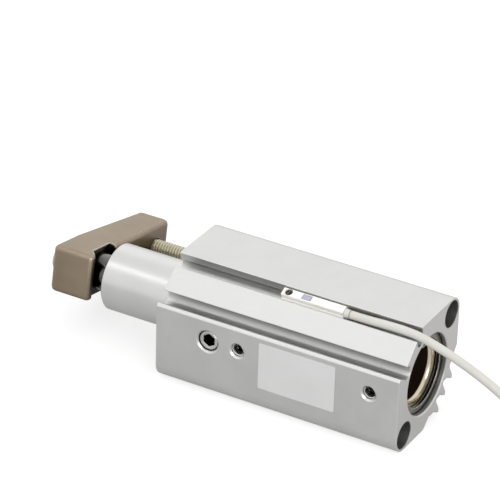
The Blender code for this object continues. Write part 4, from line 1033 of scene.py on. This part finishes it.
def make_tie(finish):
    """A thin band round the coil's turns, flat where it passes under them, with its lock."""

    def band_ring(reach, side, lift):
        ring = circle_ring(reach, side * TIE_WIDTH / 2, TIE_FACETS)
        return [(x, y, max(z, lift - COIL_REACH)) for x, z, y in ring]

    outside = COIL_REACH + TIE_THICKNESS
    work = bmesh.new()
    ring_loft(work, [
        band_ring(COIL_REACH, -1, TIE_THICKNESS),
        band_ring(COIL_REACH, 1, TIE_THICKNESS),
        band_ring(outside, 1, 0.0),
        band_ring(outside, -1, 0.0),
    ])
    lock = bmesh.ops.create_cube(work, size=1.0)["verts"]
    bmesh.ops.scale(work, vec=LOCK_SIZE, verts=lock)
    raised = (0.0, 0.0, outside + LOCK_SIZE[2] / 2 - LOCK_SINK)
    bmesh.ops.translate(work, vec=raised, verts=lock)
    lean = Matrix.Rotation(-LOCK_LEAN, 3, "Y")
    bmesh.ops.rotate(work, cent=(0.0, 0.0, 0.0), matrix=lean, verts=lock)
    mesh = finish_mesh(work, "coil_tie")
    mesh.transform(
        Matrix.Translation(at(COIL_CENTRE_X, COIL_CENTRE_Y, COIL_CENTRE_Z))
        @ Matrix.Rotation(TIE_BEARING, 4, "Z")
        @ Matrix.Translation((COIL_RADIUS, 0.0, 0.0))
    )
    tie = add_object("coil_tie", mesh, finish)
    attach(tie, "cylinder")
    return tie


def make_cable(finishes):
    points = [CABLE_EXIT] + CABLE_ROUTE + coil_points()[1:]
    cable = make_curve("cable", points, CABLE_DIAMETER, finishes["ivory_sheath"])
    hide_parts("switch_cable", "cable_coil")
    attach(cable, "cylinder")
    make_leads(finishes) + [make_tie(finishes["nylon_tie"])]


# Camera, floor, world and lamps

def make_camera():
    camera = bpy.data.cameras.new("camera")
    camera.sensor_width = CAMERA_SENSOR
    camera.lens = CAMERA_LENS
    camera.clip_end = CAMERA_REACH
    holder = add_object("camera", camera)
    holder.location = CAMERA_PLACE
    holder.rotation_euler = [math.radians(turn) for turn in CAMERA_TURNS]
    bpy.context.scene.camera = holder


def make_floor():
    """A pale floor that looks white, and keeps the cylinder's shadow."""
    corners = [
        (side_x * FLOOR_HALF, side_y * FLOOR_HALF, 0.0)
        for side_x, side_y in ((-1, -1), (1, -1), (1, 1), (-1, 1))
    ]
    mesh = bpy.data.meshes.new("floor")
    mesh.from_pydata(corners, [], [(0, 1, 2, 3)])
    paint = Painter("floor")
    patches = paint.span(paint.noise(FLOOR_PATCHES), 0.0, 1.0)
    paint.link(paint.mix(patches, tone(166, 166, 166), tone(170, 170, 170)), "Base Color")
    paint.plain({
        "Roughness": FLOOR_ROUGHNESS,
        "Specular IOR Level": 0.0,
        "Emission Color": WHITE,
    })
    path = paint.add("ShaderNodeLightPath").outputs
    mirrored = paint.math("ADD", path["Is Glossy Ray"], path["Is Transmission Ray"])
    share = paint.math("MULTIPLY", mirrored, MIRRORED_FLOOR)
    seen = paint.math("ADD", path["Is Camera Ray"], share)
    paint.link(paint.math("MULTIPLY", seen, FLOOR_GLOW), "Emission Strength")
    add_object("floor", mesh, paint.material)


def make_world():
    """White to the camera and in metal and glass. Otherwise plain light, weaker from below."""
    world = bpy.data.worlds.new("studio")
    bpy.context.scene.world = world
    world.use_nodes = True
    tree = world.node_tree
    tree.nodes.clear()
    direction = add_node(tree, "ShaderNodeTexCoord").outputs["Generated"]
    upward = add_node(tree, "ShaderNodeSeparateXYZ", {0: direction}).outputs[2]
    height = add_node(tree, "ShaderNodeMapRange", {0: upward, 1: -1.0, 2: 1.0, 3: 0.0, 4: 1.0})
    sky = add_node(tree, "ShaderNodeValToRGB", {0: height.outputs[0]})
    stops = sky.color_ramp.elements
    stops[0].position, stops[0].color = SKY_BELOW
    stops[1].position, stops[1].color = SKY_ABOVE
    level = stops.new(SKY_LEVEL[0])
    level.color = SKY_LEVEL[1]
    path = add_node(tree, "ShaderNodeLightPath").outputs
    seen = path["Is Camera Ray"]
    for kind in ("Is Glossy Ray", "Is Transmission Ray"):
        either = add_node(tree, "ShaderNodeMath", {0: seen, 1: path[kind]}, operation="MAXIMUM")
        seen = either.outputs[0]
    inputs = {0: seen, 6: sky.outputs[0], 7: WHITE}
    choose = add_node(tree, "ShaderNodeMix", inputs, data_type="RGBA")
    glow = add_node(tree, "ShaderNodeBackground", {0: choose.outputs[2]})
    add_node(tree, "ShaderNodeOutputWorld", {0: glow.outputs[0]})


def make_lamp(name, place, aim, size, power):
    lamp = bpy.data.lights.new(name, "AREA")
    lamp.shape = "RECTANGLE"
    lamp.size, lamp.size_y = size
    lamp.energy = power
    holder = add_object(name, lamp)
    holder.location = place
    direction = Vector(aim) - Vector(place)
    holder.rotation_euler = direction.to_track_quat("-Z", "Y").to_euler()


make_camera()
finishes = make_finishes()
make_cable(finishes)
dress_nodes(finishes)
make_clamp_bolt(finishes["zinc_plate"], finishes["dark_steel"])
make_lock_nut(finishes["zinc_plate"])
make_guide_plug(finishes["plated_plug"])
make_dished_plate(finishes["bronze_plate"], finishes["dark_bronze_and_shade"])
make_port_threads(finishes["tapped_aluminium"])
make_knurl(finishes["bright_steel"])
make_label(finishes["blank_sticker"])
make_floor()
make_world()
make_lamp("back_softbox", (-0.5, 0.9, 0.66), aim=(0.0, 0.0, 0.0), size=(1.3, 0.8), power=0.65)
make_lamp("long_softbox", (-0.42, -0.46, 0.8), aim=(0.0, 0.0, 0.0), size=(1.2, 0.10), power=0.6)
make_lamp("front_fill", (0.44, -0.46, 0.32), aim=(0.02, 0.0, 0.0), size=(0.3, 0.3), power=1.1)

bpy.context.scene.view_settings.view_transform = "Standard"
